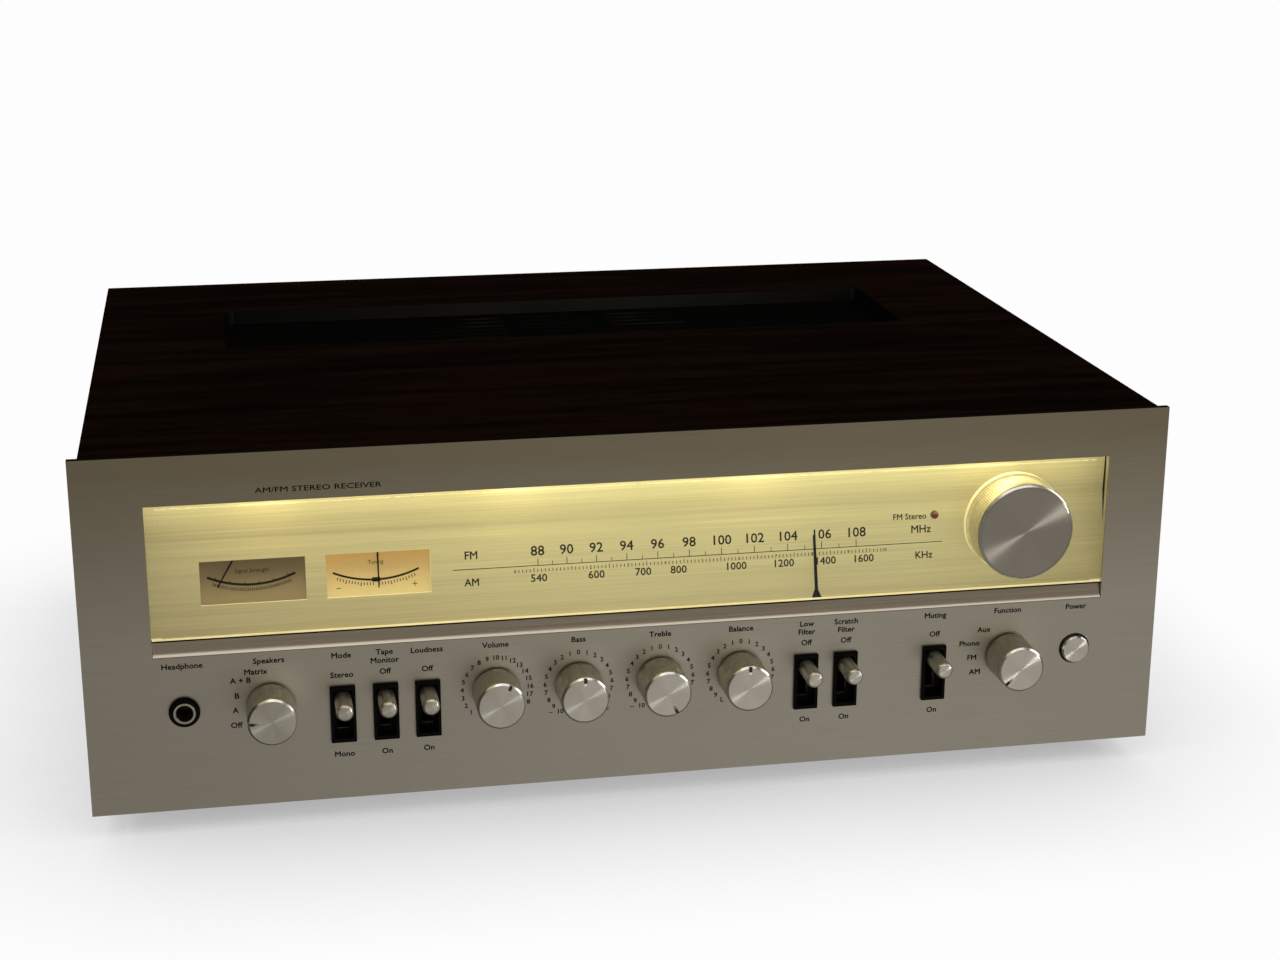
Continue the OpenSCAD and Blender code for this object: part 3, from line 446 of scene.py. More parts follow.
def make_red_jewel():
    mat = material("red_jewel", Roughness=0.12, Coat_Weight=0.6)
    depth = noise(mat, (500, 500, 500), detail=2)
    connect(mat, Base_Color=ramp(mat, depth, (0.3, (0.10, 0.012, 0.008)), (0.7, (0.22, 0.03, 0.015))))
    return mat


FACE = make_faceplate_metal()
POLISHED = make_polished_metal()
TURNED = make_turned_metal("turned_metal", (0.76, 0.735, 0.68), 0.24)
# Painted shade: a half-bright copy of the turned metal, for the tuning knob's face.
TURNED_SHADED = make_turned_metal("turned_metal_wide", (0.37, 0.345, 0.31), 0.22)
KNURL = make_knurl_metal()
GOLD = make_dial_gold()
WALNUT = make_walnut()
BLACK_PLASTIC = make_plastic("black_plastic", (0.012, 0.012, 0.012), 0.42)
BLACK_PAINT = make_plastic("black_paint", (0.010, 0.010, 0.010), 0.5, grain=4000)
RUBBER = make_plastic("rubber", (0.018, 0.018, 0.018), 0.8, grain=1500, depth=0.00006)
DEEP_BLACK = dark_plastic("deep_black", (0.006, 0.006, 0.006), 0.6)
NOTCH = dark_plastic("notch_shade", (0.10, 0.092, 0.08), 0.7)
BRIGHT = make_sheet_metal("bright_bevel", (0.88, 0.86, 0.82), 0.22, spangle=900)
PIN = make_sheet_metal("pin_metal", (0.70, 0.68, 0.62), 0.36, spangle=900)
NYLON = make_plastic("nylon", (0.72, 0.70, 0.62), 0.4)
PHENOLIC = make_plastic("phenolic", (0.22, 0.12, 0.05), 0.55)
CORE = make_plastic("core_steel", (0.05, 0.04, 0.035), 0.45, grain=1200)
SINK = make_plastic("heat_sink_black", (0.02, 0.02, 0.022), 0.4, grain=3000)
SLEEVE = make_plastic("capacitor_blue", (0.02, 0.04, 0.20), 0.3)
ZINC = make_sheet_metal("zinc_steel", (0.60, 0.60, 0.57), 0.38)
STEEL = make_sheet_metal("machined_steel", (0.62, 0.62, 0.61), 0.28, spangle=400)
NICKEL = make_sheet_metal("nickel", (0.72, 0.69, 0.62), 0.2, spangle=600)
CORD = make_cloth_cord()
BOARD = make_board()
CLEAR = make_clear()
LIT_EDGE = make_lit_edge()
LAMP = make_lamp_glass()
INK = make_ink("panel_ink", (0.004, 0.004, 0.004))
DIAL_INK = make_ink("dial_ink", (0.020, 0.015, 0.006))
SIGNAL_CARD = make_card("signal_card", (0.42, 0.34, 0.19), (0.17, 0.12, 0.06), 0.26)
CENTRE_CARD = make_card("tuning_card", (0.80, 0.66, 0.32), (0.60, 0.36, 0.11), 0.48)
JEWEL = make_red_jewel()
RED_PLASTIC = make_plastic("red_plastic", (0.35, 0.02, 0.015), 0.35)
CREAM_PLASTIC = make_plastic("cream_plastic", (0.60, 0.58, 0.50), 0.4)


# ------------------------------------------------------------------ mesh building

SMOOTH_BELOW = 32


def piece(name, bm, materials, body="body", replaces=(), smooth=SMOOTH_BELOW):
    """Turns a bmesh drawn in panel millimetres into a piece that rides on a CAD body."""
    bmesh.ops.scale(bm, vec=(MM, MM, MM), verts=bm.verts)
    bmesh.ops.translate(bm, vec=ORIGIN, verts=bm.verts)
    bmesh.ops.recalc_face_normals(bm, faces=bm.faces)
    mesh = bpy.data.meshes.new(name)
    bm.to_mesh(mesh)
    bm.free()
    for mat in materials if isinstance(materials, (list, tuple)) else [materials]:
        mesh.materials.append(mat)
    mesh.shade_smooth()
    mesh.set_sharp_from_angle(angle=math.radians(smooth))
    obj = bpy.data.objects.new(name, mesh)
    bpy.context.scene.collection.objects.link(obj)
    weighted = obj.modifiers.new("flat_faces", "WEIGHTED_NORMAL")
    weighted.keep_sharp = True
    if body:
        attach(obj, body)
    if replaces:
        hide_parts(*([replaces] if isinstance(replaces, str) else replaces))
    return obj


def from_node(name):
    """A CAD node's mesh as one clean bmesh in panel millimetres, its flat faces whole again."""
    bm = bmesh.new()
    bm.from_mesh(frame["nodes"][name].data)
    bmesh.ops.translate(bm, vec=-ORIGIN, verts=bm.verts)
    bmesh.ops.scale(bm, vec=(1 / MM, 1 / MM, 1 / MM), verts=bm.verts)
    bmesh.ops.remove_doubles(bm, verts=bm.verts, dist=0.002)
    bmesh.ops.dissolve_limit(bm, angle_limit=math.radians(0.5), verts=bm.verts, edges=bm.edges,
                             delimit={"NORMAL"})
    for face in bm.faces:
        face.material_index = 0
    return bm


def soften(bm, width, angle=40, segments=2):
    """Rounds the edges that turn by more than an angle."""
    limit = math.radians(angle)
    edges = [e for e in bm.edges if len(e.link_faces) == 2 and e.calc_face_angle(0) > limit]
    bmesh.ops.bevel(bm, geom=edges, offset=width, segments=segments, profile=0.6, affect="EDGES",
                    clamp_overlap=True, offset_type="OFFSET")
    return bm


def refined(name, mat, width, body="body", angle=60, segments=2):
    """A CAD node's own shape with its edges rounded."""
    bm = soften(from_node(name), width, angle, segments)
    return piece(name + "_shell", bm, mat, body, name)


def add_box(bm, low, high):
    corners = [bm.verts.new((x, y, z)) for x in (low[0], high[0]) for y in (low[1], high[1])
               for z in (low[2], high[2])]
    faces = ((0, 1, 3, 2), (4, 6, 7, 5), (0, 4, 5, 1), (2, 3, 7, 6), (0, 2, 6, 4), (1, 5, 7, 3))
    for corner_ids in faces:
        bm.faces.new([corners[i] for i in corner_ids])
    return corners


def add_lathe(bm, profile, centre=(0, 0), steps=64, ripple=None, bands=None):
    """Revolves (radius, y) points about Y through centre (x, z). ripple gives (depth, teeth, y low, y high)
    of a straight knurl, and bands gives the material of the face after each point."""
    rings = []
    for r, y in profile:
        if r < 1e-6:
            rings.append([bm.verts.new((centre[0], y, centre[1]))])
            continue
        ring = []
        for i in range(steps):
            angle = 2 * math.pi * i / steps
            radius = r
            if ripple and ripple[2] <= y <= ripple[3]:
                radius -= ripple[0] * (0.5 - 0.5 * math.cos(angle * ripple[1]))
            ring.append(bm.verts.new((centre[0] + radius * math.cos(angle), y,
                                      centre[1] + radius * math.sin(angle))))
        rings.append(ring)
    for index, (a, b) in enumerate(zip(rings, rings[1:])):
        for i in range(steps):
            j = (i + 1) % steps
            if len(a) == 1 and len(b) == 1:
                break
            if len(a) == 1:
                corners = (a[0], b[i], b[j])
            elif len(b) == 1:
                corners = (a[i], b[0], a[j])
            else:
                corners = (a[i], b[i], b[j], a[j])
            face = bm.faces.new(corners)
            face.material_index = bands[index] if bands else 0
    return rings


def sweep(bm, rings):
    """Skins a row of closed rings and caps both ends."""
    sides = len(rings[0])
    for a, b in zip(rings, rings[1:]):
        for k in range(sides):
            m = (k + 1) % sides
            bm.faces.new((a[k], a[m], b[m], b[k]))
    bm.faces.new(list(reversed(rings[0])))
    bm.faces.new(rings[-1])


def add_tube(bm, path, radius, sides):
    """Sweeps a circle along a path of points with no twist."""
    points = [Vector(p) for p in path]
    normal = None
    rings = []
    for i, point in enumerate(points):
        ahead = points[min(i + 1, len(points) - 1)] - points[max(i - 1, 0)]
        ahead.normalize()
        if normal is None:
            seed = Vector((0, 0, 1)) if abs(ahead.z) < 0.9 else Vector((1, 0, 0))
            normal = ahead.cross(seed).normalized()
        normal = (normal - ahead * normal.dot(ahead)).normalized()
        across = ahead.cross(normal)
        turns = [2 * math.pi * k / sides for k in range(sides)]
        rings.append([bm.verts.new(point + (normal * math.cos(t) + across * math.sin(t)) * radius)
                      for t in turns])
    sweep(bm, rings)


def add_ring(bm, outline, centre, steps=72):
    """Revolves a closed outline, whose last point is its first again."""
    add_lathe(bm, outline, centre, steps=steps)
    bmesh.ops.remove_doubles(bm, verts=bm.verts, dist=0.001)


def carve(obj, cutter):
    """Cuts one mesh object out of another and leaves the cutter's material on the cut faces."""
    boolean = obj.modifiers.new("carve", "BOOLEAN")
    boolean.operation = "DIFFERENCE"
    boolean.solver = "EXACT"
    boolean.object = cutter
    boolean.material_mode = "TRANSFER"
    obj.modifiers.move(len(obj.modifiers) - 1, 0)
    depsgraph = bpy.context.evaluated_depsgraph_get()
    weighted = obj.modifiers["flat_faces"]
    weighted.show_viewport = False
    carved = bpy.data.meshes.new_from_object(obj.evaluated_get(depsgraph))
    weighted.show_viewport = True
    obj.modifiers.remove(boolean)
    obj.data = carved
    obj.data.set_sharp_from_angle(angle=math.radians(SMOOTH_BELOW))
    bpy.data.objects.remove(cutter)


# ------------------------------------------------------------------ lettering

_font = {}


def glyph_mesh(text, size, width=1.0, thick=0.03):
    """Upright text in the X, Z plane, centred on the origin, as vertex positions and faces in millimetres."""
    key = (text, size, width, thick)
    if key not in _font:
        curve = bpy.data.curves.new("letters", "FONT")
        curve.body = text
        curve.size = size
        curve.align_x = "CENTER"
        curve.align_y = "CENTER"
        curve.extrude = thick
        curve.resolution_u = 2
        obj = bpy.data.objects.new("letters", curve)
        bpy.context.scene.collection.objects.link(obj)
        depsgraph = bpy.context.evaluated_depsgraph_get()
        mesh = bpy.data.meshes.new_from_object(obj.evaluated_get(depsgraph))
        _font[key] = ([(v.co.x * width, -v.co.z, v.co.y) for v in mesh.vertices],
                      [tuple(p.vertices) for p in mesh.polygons])
        bpy.data.objects.remove(obj)
        bpy.data.meshes.remove(mesh)
    return _font[key]


def add_text(bm, text, size, x, z, place, weight=0.0, **style):
    """Prints text at x, z; weight thickens its strokes by printing it three times, a little apart."""
    points, faces = glyph_mesh(text, size, **style)
    passes = [math.radians(a) for a in (90, 210, 330)] if weight else [0.0]
    for index, turn in enumerate(passes):
        dx, dz, dy = x + weight * math.cos(turn), z + weight * math.sin(turn), -0.004 * index
        verts = [bm.verts.new(place(px + dx, py + dy, pz + dz)) for px, py, pz in points]
        for corner_ids in faces:
            bm.faces.new([verts[i] for i in corner_ids])


def on_panel(x, y, z):
    return (x, y, z)


def on_dial(x, y, z):
    """A point over the leaning dial plate at front-view height z, y in front of (negative) its surface."""
    return (x, DIAL_Y + (z - DIAL_Z) * math.tan(LEAN) + y, z)


def on_card(x, y, z):
    """The same, over the meter cards behind the plate."""
    return (x, DIAL_Y + (z - DIAL_Z) * math.tan(LEAN) + CARD_DEPTH / math.cos(LEAN) + y, z)


def add_bar(bm, x0, z0, x1, z1, width, place, thick=0.04):
    """A printed line between two points."""
    a, b = Vector((x0, z0)), Vector((x1, z1))
    side = (b - a).normalized().orthogonal() * width / 2
    corners = [a + side, b + side, b - side, a - side]
    front = [bm.verts.new(place(p.x, -thick, p.y)) for p in corners]
    back = [bm.verts.new(place(p.x, thick, p.y)) for p in corners]
    bm.faces.new(front)
    bm.faces.new(list(reversed(back)))
    for i in range(4):
        j = (i + 1) % 4
        bm.faces.new((front[j], front[i], back[i], back[j]))


def on_arc(centre, radius, degrees):
    """X and Z at a radius and an angle from a meter's centre: from straight down, positive to the right."""
    angle = math.radians(degrees)
    return centre[0] + radius * math.sin(angle), centre[1] - radius * math.cos(angle)


def add_arc(bm, centre, radius, a0, a1, width, place, thick, steps=24):
    """A printed arc between two angles."""
    rings = []
    near, far = radius - width / 2, radius + width / 2
    for i in range(steps + 1):
        ring = []
        for r, y in ((near, -thick), (far, -thick), (far, thick), (near, thick)):
            x, z = on_arc(centre, r, a0 + (a1 - a0) * i / steps)
            ring.append(bm.verts.new(place(x, y, z)))
        rings.append(ring)
    sweep(bm, rings)


def finish_ink(name, bm, mat):
    bmesh.ops.remove_doubles(bm, verts=bm.verts, dist=0.0005)
    piece(name, bm, mat)


LEVER_LABELS = {
    "mode": (("Mode", 62.4), ("Stereo", 54.0), ("Mono", 19.4)),
    "tape_monitor": (("Tape", 62.8), ("Monitor", 59.2), ("Off", 54.4), ("On", 19.4)),
    "loudness": (("Loudness", 62.5), ("Off", 54.3), ("On", 19.5)),
    "low_filter": (("Low", 62.8), ("Filter", 59.2), ("Off", 54.4), ("On", 19.8)),
    "scratch_filter": (("Scratch", 62.8), ("Filter", 59.2), ("Off", 54.4), ("On", 19.8)),
    "muting": (("Muting", 62.8), ("Off", 54.4), ("On", 19.9)),
}
SPOT_LABELS = (
    ("Headphone", -186.2, 62.2), ("Speakers", -152.1, 62.3), ("Matrix", -157.5, 57.8),
    ("A + B", -163.6, 54.4), ("B", -165.3, 47.9), ("A", -166.1, 41.7), ("Off", -166.1, 35.3),
    ("Function", 158.3, 63.0), ("Aux", 148.1, 54.9), ("Phono", 141.9, 49.0), ("FM", 143.3, 42.5),
    ("AM", 144.9, 35.9), ("Power", 188.8, 62.8),
)
# Radius of the figures round a knob, and the degrees from one figure to the next
RING_R = 14.0
STEP = 14.6


def build_panel_lettering():
    bm = bmesh.new()
    label = dict(size=3.35, weight=0.105, width=1.04)
    number = dict(size=2.85, weight=0.085, width=1.05)
    for name, labels in LEVER_LABELS.items():
        x = middle(name + "_lever").x
        for text, z in labels:
            add_text(bm, text, x=x, z=z, place=on_panel, **label)
    for text, x, z in SPOT_LABELS:
        add_text(bm, text, x=x, z=z, place=on_panel, **label)
    rings = {"volume": [(str(n + 1), (n - 9) * STEP) for n in range(18)]}
    for name in ("bass", "treble", "balance"):
        rings[name] = [(str(abs(n)), n * STEP) for n in range(-9, 10)]
    for name in ("bass", "treble"):
        rings[name] += [("10", -10 * STEP), ("10", 10 * STEP)]
    rings["balance"] += [("L", -10 * STEP), ("R", 10 * STEP)]
    for name, marks in rings.items():
        x = middle(name + "_shaft").x
        add_text(bm, name.capitalize(), x=x, z=62.6, place=on_panel, **label)
        for text, turn in marks:
            angle = math.radians(turn)
            add_text(bm, text, x=x + RING_R * math.sin(angle), z=ROW_Z + 0.2 + RING_R * math.cos(angle),
                     place=on_panel, **number)
    for name in ("bass", "treble"):
        x = middle(name + "_shaft").x
        low = ROW_Z + RING_R * math.cos(math.radians(10 * STEP))
        add_bar(bm, x - 12.6, low, x - 11.0, low, 0.3, on_panel)
        add_bar(bm, x + 11.0, low, x + 12.6, low, 0.3, on_panel)
        add_bar(bm, x + 11.8, low - 0.8, x + 11.8, low + 0.8, 0.3, on_panel)
    add_text(bm, "AM/FM STEREO RECEIVER", 3.0, -129.5, 133.6, on_panel, width=1.46, weight=0.05)
    finish_ink("panel_lettering", bm, INK)


def fm_x(n):
    return -41.2 + 11.87 * n + 0.165 * n * n


def am_x(khz):
    return -41 + 138 * ((khz - 540) / 1060) ** 0.61


def build_dial_lettering():
    bm = bmesh.new()
    line_z = 91.7
    add_bar(bm, -76.2, line_z, 131.8, line_z, 0.28, on_dial)
    for n in range(11):
        x = fm_x(n)
        add_bar(bm, x, line_z, x, line_z + 2.8, 0.28, on_dial)
        add_text(bm, str(88 + 2 * n), 5.6, x, 97.5, on_dial, weight=0.09, width=1.05)
        if n < 10:
            half = (x + fm_x(n + 1)) / 2
            add_bar(bm, half, line_z, half, line_z + 1.7, 0.22, on_dial)
    for khz in (540, 600, 700, 800, 1000, 1200, 1400, 1600):
        add_text(bm, str(khz), 4.4, am_x(khz), 86.4, on_dial, weight=0.08, width=1.06)
    for k in range(101):
        x = -50.8 + 1.571 * k
        if k % 10:
            add_bar(bm, x, 89.0, x, 90.3 + (0.4 if k % 5 == 0 else 0.0), 0.27, on_dial)
        else:
            add_text(bm, str(k // 10), 2.0, x, 89.6, on_dial, weight=0.02)
    for text, size, x, z in (("FM", 4.6, -68.6, 97.2), ("AM", 4.3, -68.6, 86.2), ("MHz", 4.6, 122.4, 97.3),
                             ("KHz", 4.3, 123.5, 86.4), ("FM Stereo", 3.5, 117.6, 102.8)):
        add_text(bm, text, size, x, z, on_dial, weight=0.07)
    finish_ink("dial_lettering", bm, DIAL_INK)


# Thickness of the meter prints, and the radius and centre height of their arcs
METER_INK = 0.05
METER_R = 43.2
METER_Z = 133.0


def add_tick(bm, centre, inner, outer, degrees, width):
    """A mark across a meter's arc, between two radii."""
    add_bar(bm, *on_arc(centre, inner, degrees), *on_arc(centre, outer, degrees), width, on_card, METER_INK)


def build_signal_print():
    bm = bmesh.new()
    centre = (SIGNAL_X - 0.6, METER_Z)
    start, sweep_angle = -19.5, 39.5
    add_arc(bm, centre, METER_R, -24, 24, 0.95, on_card, METER_INK)
    for i in range(6):
        turn = start + 7.9 * i
        add_tick(bm, centre, METER_R - 1.1, METER_R, turn, 0.35)
        add_text(bm, str(i), 2.0, *on_arc(centre, METER_R + 2.0, turn), on_card)
    for i in range(41):
        if i % 8:
            add_tick(bm, centre, METER_R + 1.3, METER_R + 2.6, start + sweep_angle * i / 40, 0.3)
    add_text(bm, "Signal Strength", 2.3, SIGNAL_X - 0.3, 95.4, on_card)
    finish_ink("signal_meter_print", bm, DIAL_INK)


def build_tuning_print():
    bm = bmesh.new()
    x = CENTRE_X - 0.9
    centre = (x, METER_Z - 0.6)
    add_arc(bm, centre, METER_R + 0.4, -23.5, 23.5, 0.8, on_card, METER_INK)
    add_arc(bm, centre, METER_R + 0.4, -2.2, 2.2, 1.8, on_card, METER_INK)
    for i in range(-13, 14):
        if i:
            long = 0.5 if i % 5 == 0 else 0.0
            add_tick(bm, centre, METER_R + 1.6, METER_R + 2.7 + long, 1.55 * i, 0.32)
    add_text(bm, "Tuning", 2.3, x, 95.9, on_card)
    for x0, z0, x1, z1 in ((-16.2, 86.0, -14.4, 86.0), (14.6, 86.2, 16.6, 86.2), (15.6, 85.2, 15.6, 87.2)):
        add_bar(bm, x + x0, z0, x + x1, z1, 0.25, on_card, METER_INK)
    finish_ink("tuning_meter_print", bm, DIAL_INK)


# ------------------------------------------------------------------ front

def build_faceplate():
    refined("faceplate", FACE, 0.25, angle=50)
    bm = soften(from_node("window_sill"), 0.12, angle=14, segments=2)
    piece("window_sill_shell", bm, POLISHED, "body", "window_sill")


def build_lens():
    bm = soften(from_node("dial_lens"), 0.18, angle=50, segments=2)
    bm.normal_update()
    low, high = mm_box("dial_lens")
    # Painted glow: the lens's cut edges round the knob's hole and along its outer sides and bottom take the
    # glowing edge material.
    for face in bm.faces:
        at = face.calc_center_median()
        rim = math.hypot(at.x - TUNING.x, at.z - TUNING.z) < 21.8
        outer = at.x < low.x + 0.4 or at.x > high.x - 0.4 or at.z < low.z + 0.4
        if abs(face.normal.y) < 0.75 and (rim or outer):
            face.material_index = 1
    piece("dial_lens_shell", bm, [CLEAR, LIT_EDGE], "body", "dial_lens")
    sill_top = mm_box("window_sill")[1].z
    # Painted shadow: a deep black strip fills the gap between the sill and the lens's lower edge.
    bm = bmesh.new()
    add_box(bm, (low.x, 1.1, sill_top + 0.02), (high.x, 2.9, low.z - 0.02))
    piece("lens_gasket", bm, DEEP_BLACK, "body", ())


def build_dial():
    bm = from_node("dial_plate")
    bm.normal_update()
    # Painted highlight: the plate's cut edges left of x = -80, between z = 75 and 105, glow with the lens's
    # edge material.
    for face in bm.faces:
        at = face.calc_center_median()
        if at.x < -80 and 75 < at.z < 105 and abs(face.normal.y) < 0.6:
            face.material_index = 1
    piece("dial_plate_sheet", bm, [GOLD, LIT_EDGE], "body", "dial_plate", smooth=5)
    refined("meter_cases", BLACK_PLASTIC, 0.3, angle=40)
    for name, x, mat in (("signal_card", SIGNAL_X, SIGNAL_CARD), ("tuning_card", CENTRE_X, CENTRE_CARD)):
        bm = from_node("meter_scales")
        far = [v for v in bm.verts if abs(v.co.x - x) > 23]
        bmesh.ops.delete(bm, geom=far, context="VERTS")
        soften(bm, 0.08)
        piece(name, bm, mat, "body", "meter_scales" if x == SIGNAL_X else ())


def build_lamps():
    centre = middle("dial_lamps")
    bm = bmesh.new()
    caps = bmesh.new()
    for x in (-150, -50, 50, 150):
        glass = [(0.0, -13.4), (2.1, -13.4), (2.7, -12.4), (2.8, -11.0), (2.8, 11.0), (2.7, 12.4),
                 (2.1, 13.4), (0.0, 13.4)]
        turn_to_x(add_lathe(bm, glass, steps=20), x, centre)
        for side in (-1, 1):
            cap = [(0.0, side * 10.8), (3.1, side * 10.8), (3.1, side * 15.4), (2.9, side * 15.8),
                   (0.0, side * 16.0)]
            turn_to_x(add_lathe(caps, cap, steps=20), x, centre)
    piece("lamp_tubes", bm, LAMP, "body", "dial_lamps")
    piece("lamp_caps", caps, NICKEL, "body", ())
    refined("stereo_lamp", JEWEL, 0.1).visible_shadow = False


def turn_to_x(rings, x, centre):
    """Turns lathed rings from the Y axis to the X axis and moves them to x and the centre's Y and Z."""
    for ring in rings:
        for v in ring:
            v.co = Vector((x + v.co.y, centre.y + v.co.x, centre.z + v.co.z))


def knob_piece(name, control, centre, radius, front, rear, teeth, turn=None):
    """A turned knob: plain skirt, knurled grip, bright bevel and a turned face."""
    edge = 0.75
    scale = radius / 10
    profile = [(3.02, rear - 12.0), (3.02, rear - 0.3), (3.3, rear), (radius - 0.5, rear),
               (radius, rear - 0.45), (radius, rear - 1.5), (radius - 0.35, rear - 1.8),
               (radius - 0.05, rear - 2.1), (radius - 0.05, rear - 2.2), (radius - 0.05, front + 1.9),
               (radius - 0.05, front + 1.8), (radius - 0.3, front + 1.5), (radius - 0.1, front + 1.3),
               (radius - 0.1, front + edge), (radius - 0.1 - edge, front + 0.08),
               (radius - 0.45 - edge, front), (radius * 0.5, front + 0.02 * scale),
               (0.4, front + 0.03 * scale), (0.0, front + 0.03 * scale)]
    knurled = (0.16, teeth, front + 1.85, rear - 2.15)
    bands = [1 if 4 <= i <= 11 else 3 if i == 13 else 0 for i in range(len(profile))]
    bm = bmesh.new()
    rings = add_lathe(bm, profile, centre, steps=teeth * 4, ripple=knurled, bands=bands)
    bm.faces.new(list(reversed(rings[0])))
    # The tuning knob, which has no notch, takes the painted-shade copy of the turned metal.
    face_metal = TURNED if turn is not None else TURNED_SHADED
    obj = piece(name, bm, [face_metal, KNURL, INK, BRIGHT], control, name.replace("_cap", ""))
    if turn is not None:
        slot_w, slot_l, slot_d = 1.3, 2.3, 0.55
        cut = bmesh.new()
        add_box(cut, (-slot_w / 2, front - 1, radius - 0.2 - slot_l),
                (slot_w / 2, front + slot_d, radius + 1))
        bmesh.ops.rotate(cut, verts=cut.verts, matrix=Matrix.Rotation(math.radians(-turn), 3, "Y"))
        bmesh.ops.translate(cut, verts=cut.verts, vec=(centre[0], 0, centre[1]))
        cutter = piece("cutter", cut, NOTCH, body=None)
        carve(obj, cutter)
    return obj


def build_knobs():
    for name in KNOB_NODES:
        low, high = mm_box(name + "_knob")
        x = middle(name + "_shaft").x
        knob_piece(name + "_knob_cap", name + "_control", (x, ROW_Z), KNOB_R, low.y, high.y, 66,
                   NOTCH_TURN[name])
        refined(name + "_shaft", STEEL, 0.3, body=name + "_control")
    low, high = mm_box("tuning_knob")
    knob_piece("tuning_knob_cap", "tuning_control", (TUNING.x, TUNING.z), (high.x - low.x) / 2, low.y, high.y,
               132)
    refined("tuning_shaft", STEEL, 0.2, body="tuning_control")
    refined("flywheel", STEEL, 0.4, body="tuning_control")


def build_levers():
    for name in LEVER_NODES:
        node_name = name + "_lever"
        low, high = mm_box(node_name)
        centre = middle(node_name)
        radius = (high.x - low.x) / 2
        rear = high.y - 10.6
        profile = [(0.0, rear), (radius - 0.3, rear), (radius, rear - 0.3), (radius, low.y + 1.0),
                   (radius - 0.3, low.y + 0.45), (radius - 0.85, low.y + 0.03), (radius - 1.0, low.y),
                   (0.0, low.y)]
        bm = bmesh.new()
        add_lathe(bm, profile, (centre.x, centre.z), steps=48, bands=[1, 1, 1, 1, 1, 0, 0, 0])
        neck = add_box(bm, (centre.x - 2, rear - 0.3, centre.z - 2), (centre.x + 2, high.y, centre.z + 2))
        bmesh.ops.bevel(bm, geom=list({e for v in neck for e in v.link_edges}), offset=0.2, segments=1,
                        affect="EDGES")
        piece(name + "_lever_pin", bm, [TURNED, PIN], name + "_lever", node_name)


def build_bezels():
    bm = soften(from_node("switch_bezels"), 0.35, angle=50, segments=2)
    piece("switch_bezel_frames", bm, DEEP_BLACK, "body", "switch_bezels")


def build_button_and_jack():
    low, high = mm_box("power_button")
    centre = middle("power_button")
    radius = (high.x - low.x) / 2
    shoulder = low.y + 6.7
    profile = [(0.0, high.y), (2.3, high.y), (2.5, high.y - 0.2), (2.5, shoulder), (radius - 0.2, shoulder),
               (radius, shoulder - 0.2), (radius, low.y + 0.6), (radius - 0.55, low.y + 0.02),
               (radius - 0.75, low.y), (0.0, low.y)]
    bm = bmesh.new()
    add_lathe(bm, profile, (centre.x, centre.z), steps=72)
    piece("power_button_cap", bm, TURNED, "power_button", "power_button")
    jack = middle("headphone_jack")
    nut = [(4.55, -0.05), (6.1, -0.05), (6.2, -0.2), (6.2, -1.2), (5.7, -1.8), (4.7, -1.85), (4.55, -1.7)]
    bm = bmesh.new()
    add_ring(bm, nut + nut[:1], (jack.x, ROW_Z))
    piece("jack_nut", bm, DEEP_BLACK, "body", ())
    bush = [(3.3, 9.2), (3.3, -2.1), (3.6, -2.4), (4.3, -2.4), (4.5, -2.2), (4.5, 9.2), (3.3, 9.2)]
    bm = bmesh.new()
    add_ring(bm, bush, (jack.x, ROW_Z))
    piece("jack_bushing", bm, NICKEL, "body", ())
    bm = bmesh.new()
    add_box(bm, (jack.x - 9, 9.25, ROW_Z - 8), (jack.x + 9, 38, ROW_Z + 8))
    soften(bm, 0.6)
    body = piece("jack_body", bm, BLACK_PLASTIC, "body", "headphone_jack")
    bore = bmesh.new()
    add_lathe(bore, [(0.0, 0.0), (3.3, 0.0), (3.3, 34.0), (0.0, 34.0)], (jack.x, ROW_Z), steps=48)
    carve(body, piece("cutter", bore, BLACK_PLASTIC, body=None))


def build_pointer_and_needles():
    bm = from_node("dial_pointer")
    foot_top, neck_half = 75.5, 0.65
    cut = bmesh.ops.bisect_plane(bm, geom=bm.verts[:] + bm.edges[:] + bm.faces[:], plane_co=(0, 0, foot_top),
                                 plane_no=(0, 0, 1))
    ring = [v for v in cut["geom_cut"] if isinstance(v, bmesh.types.BMVert)]
    axis_x = sum(v.co.x for v in ring) / len(ring)
    for v in bm.verts:
        if v.co.z > foot_top - 0.01:
            v.co.x = axis_x + max(-neck_half, min(neck_half, v.co.x - axis_x))
    soften(bm, 0.12, angle=50, segments=1)
    piece("dial_pointer_arm", bm, DEEP_BLACK, "dial_pointer", "dial_pointer")
    for name in ("signal_needle", "tuning_needle"):
        bm = soften(from_node(name), 0.05, angle=60, segments=1)
        piece(name + "_arm", bm, INK, name, name)


# ------------------------------------------------------------------ case

def build_case():
    refined("cabinet_cover", WALNUT, 0.9, segments=3)
    refined("vent_grille", BLACK_PAINT, 0.25)
    refined("feet", RUBBER, 0.5)
    refined("chassis", ZINC, 0.2, segments=1)
    refined("rear_panel", BLACK_PAINT, 0.15, segments=1)
    refined("front_bracket", ZINC, 0.15, segments=1)


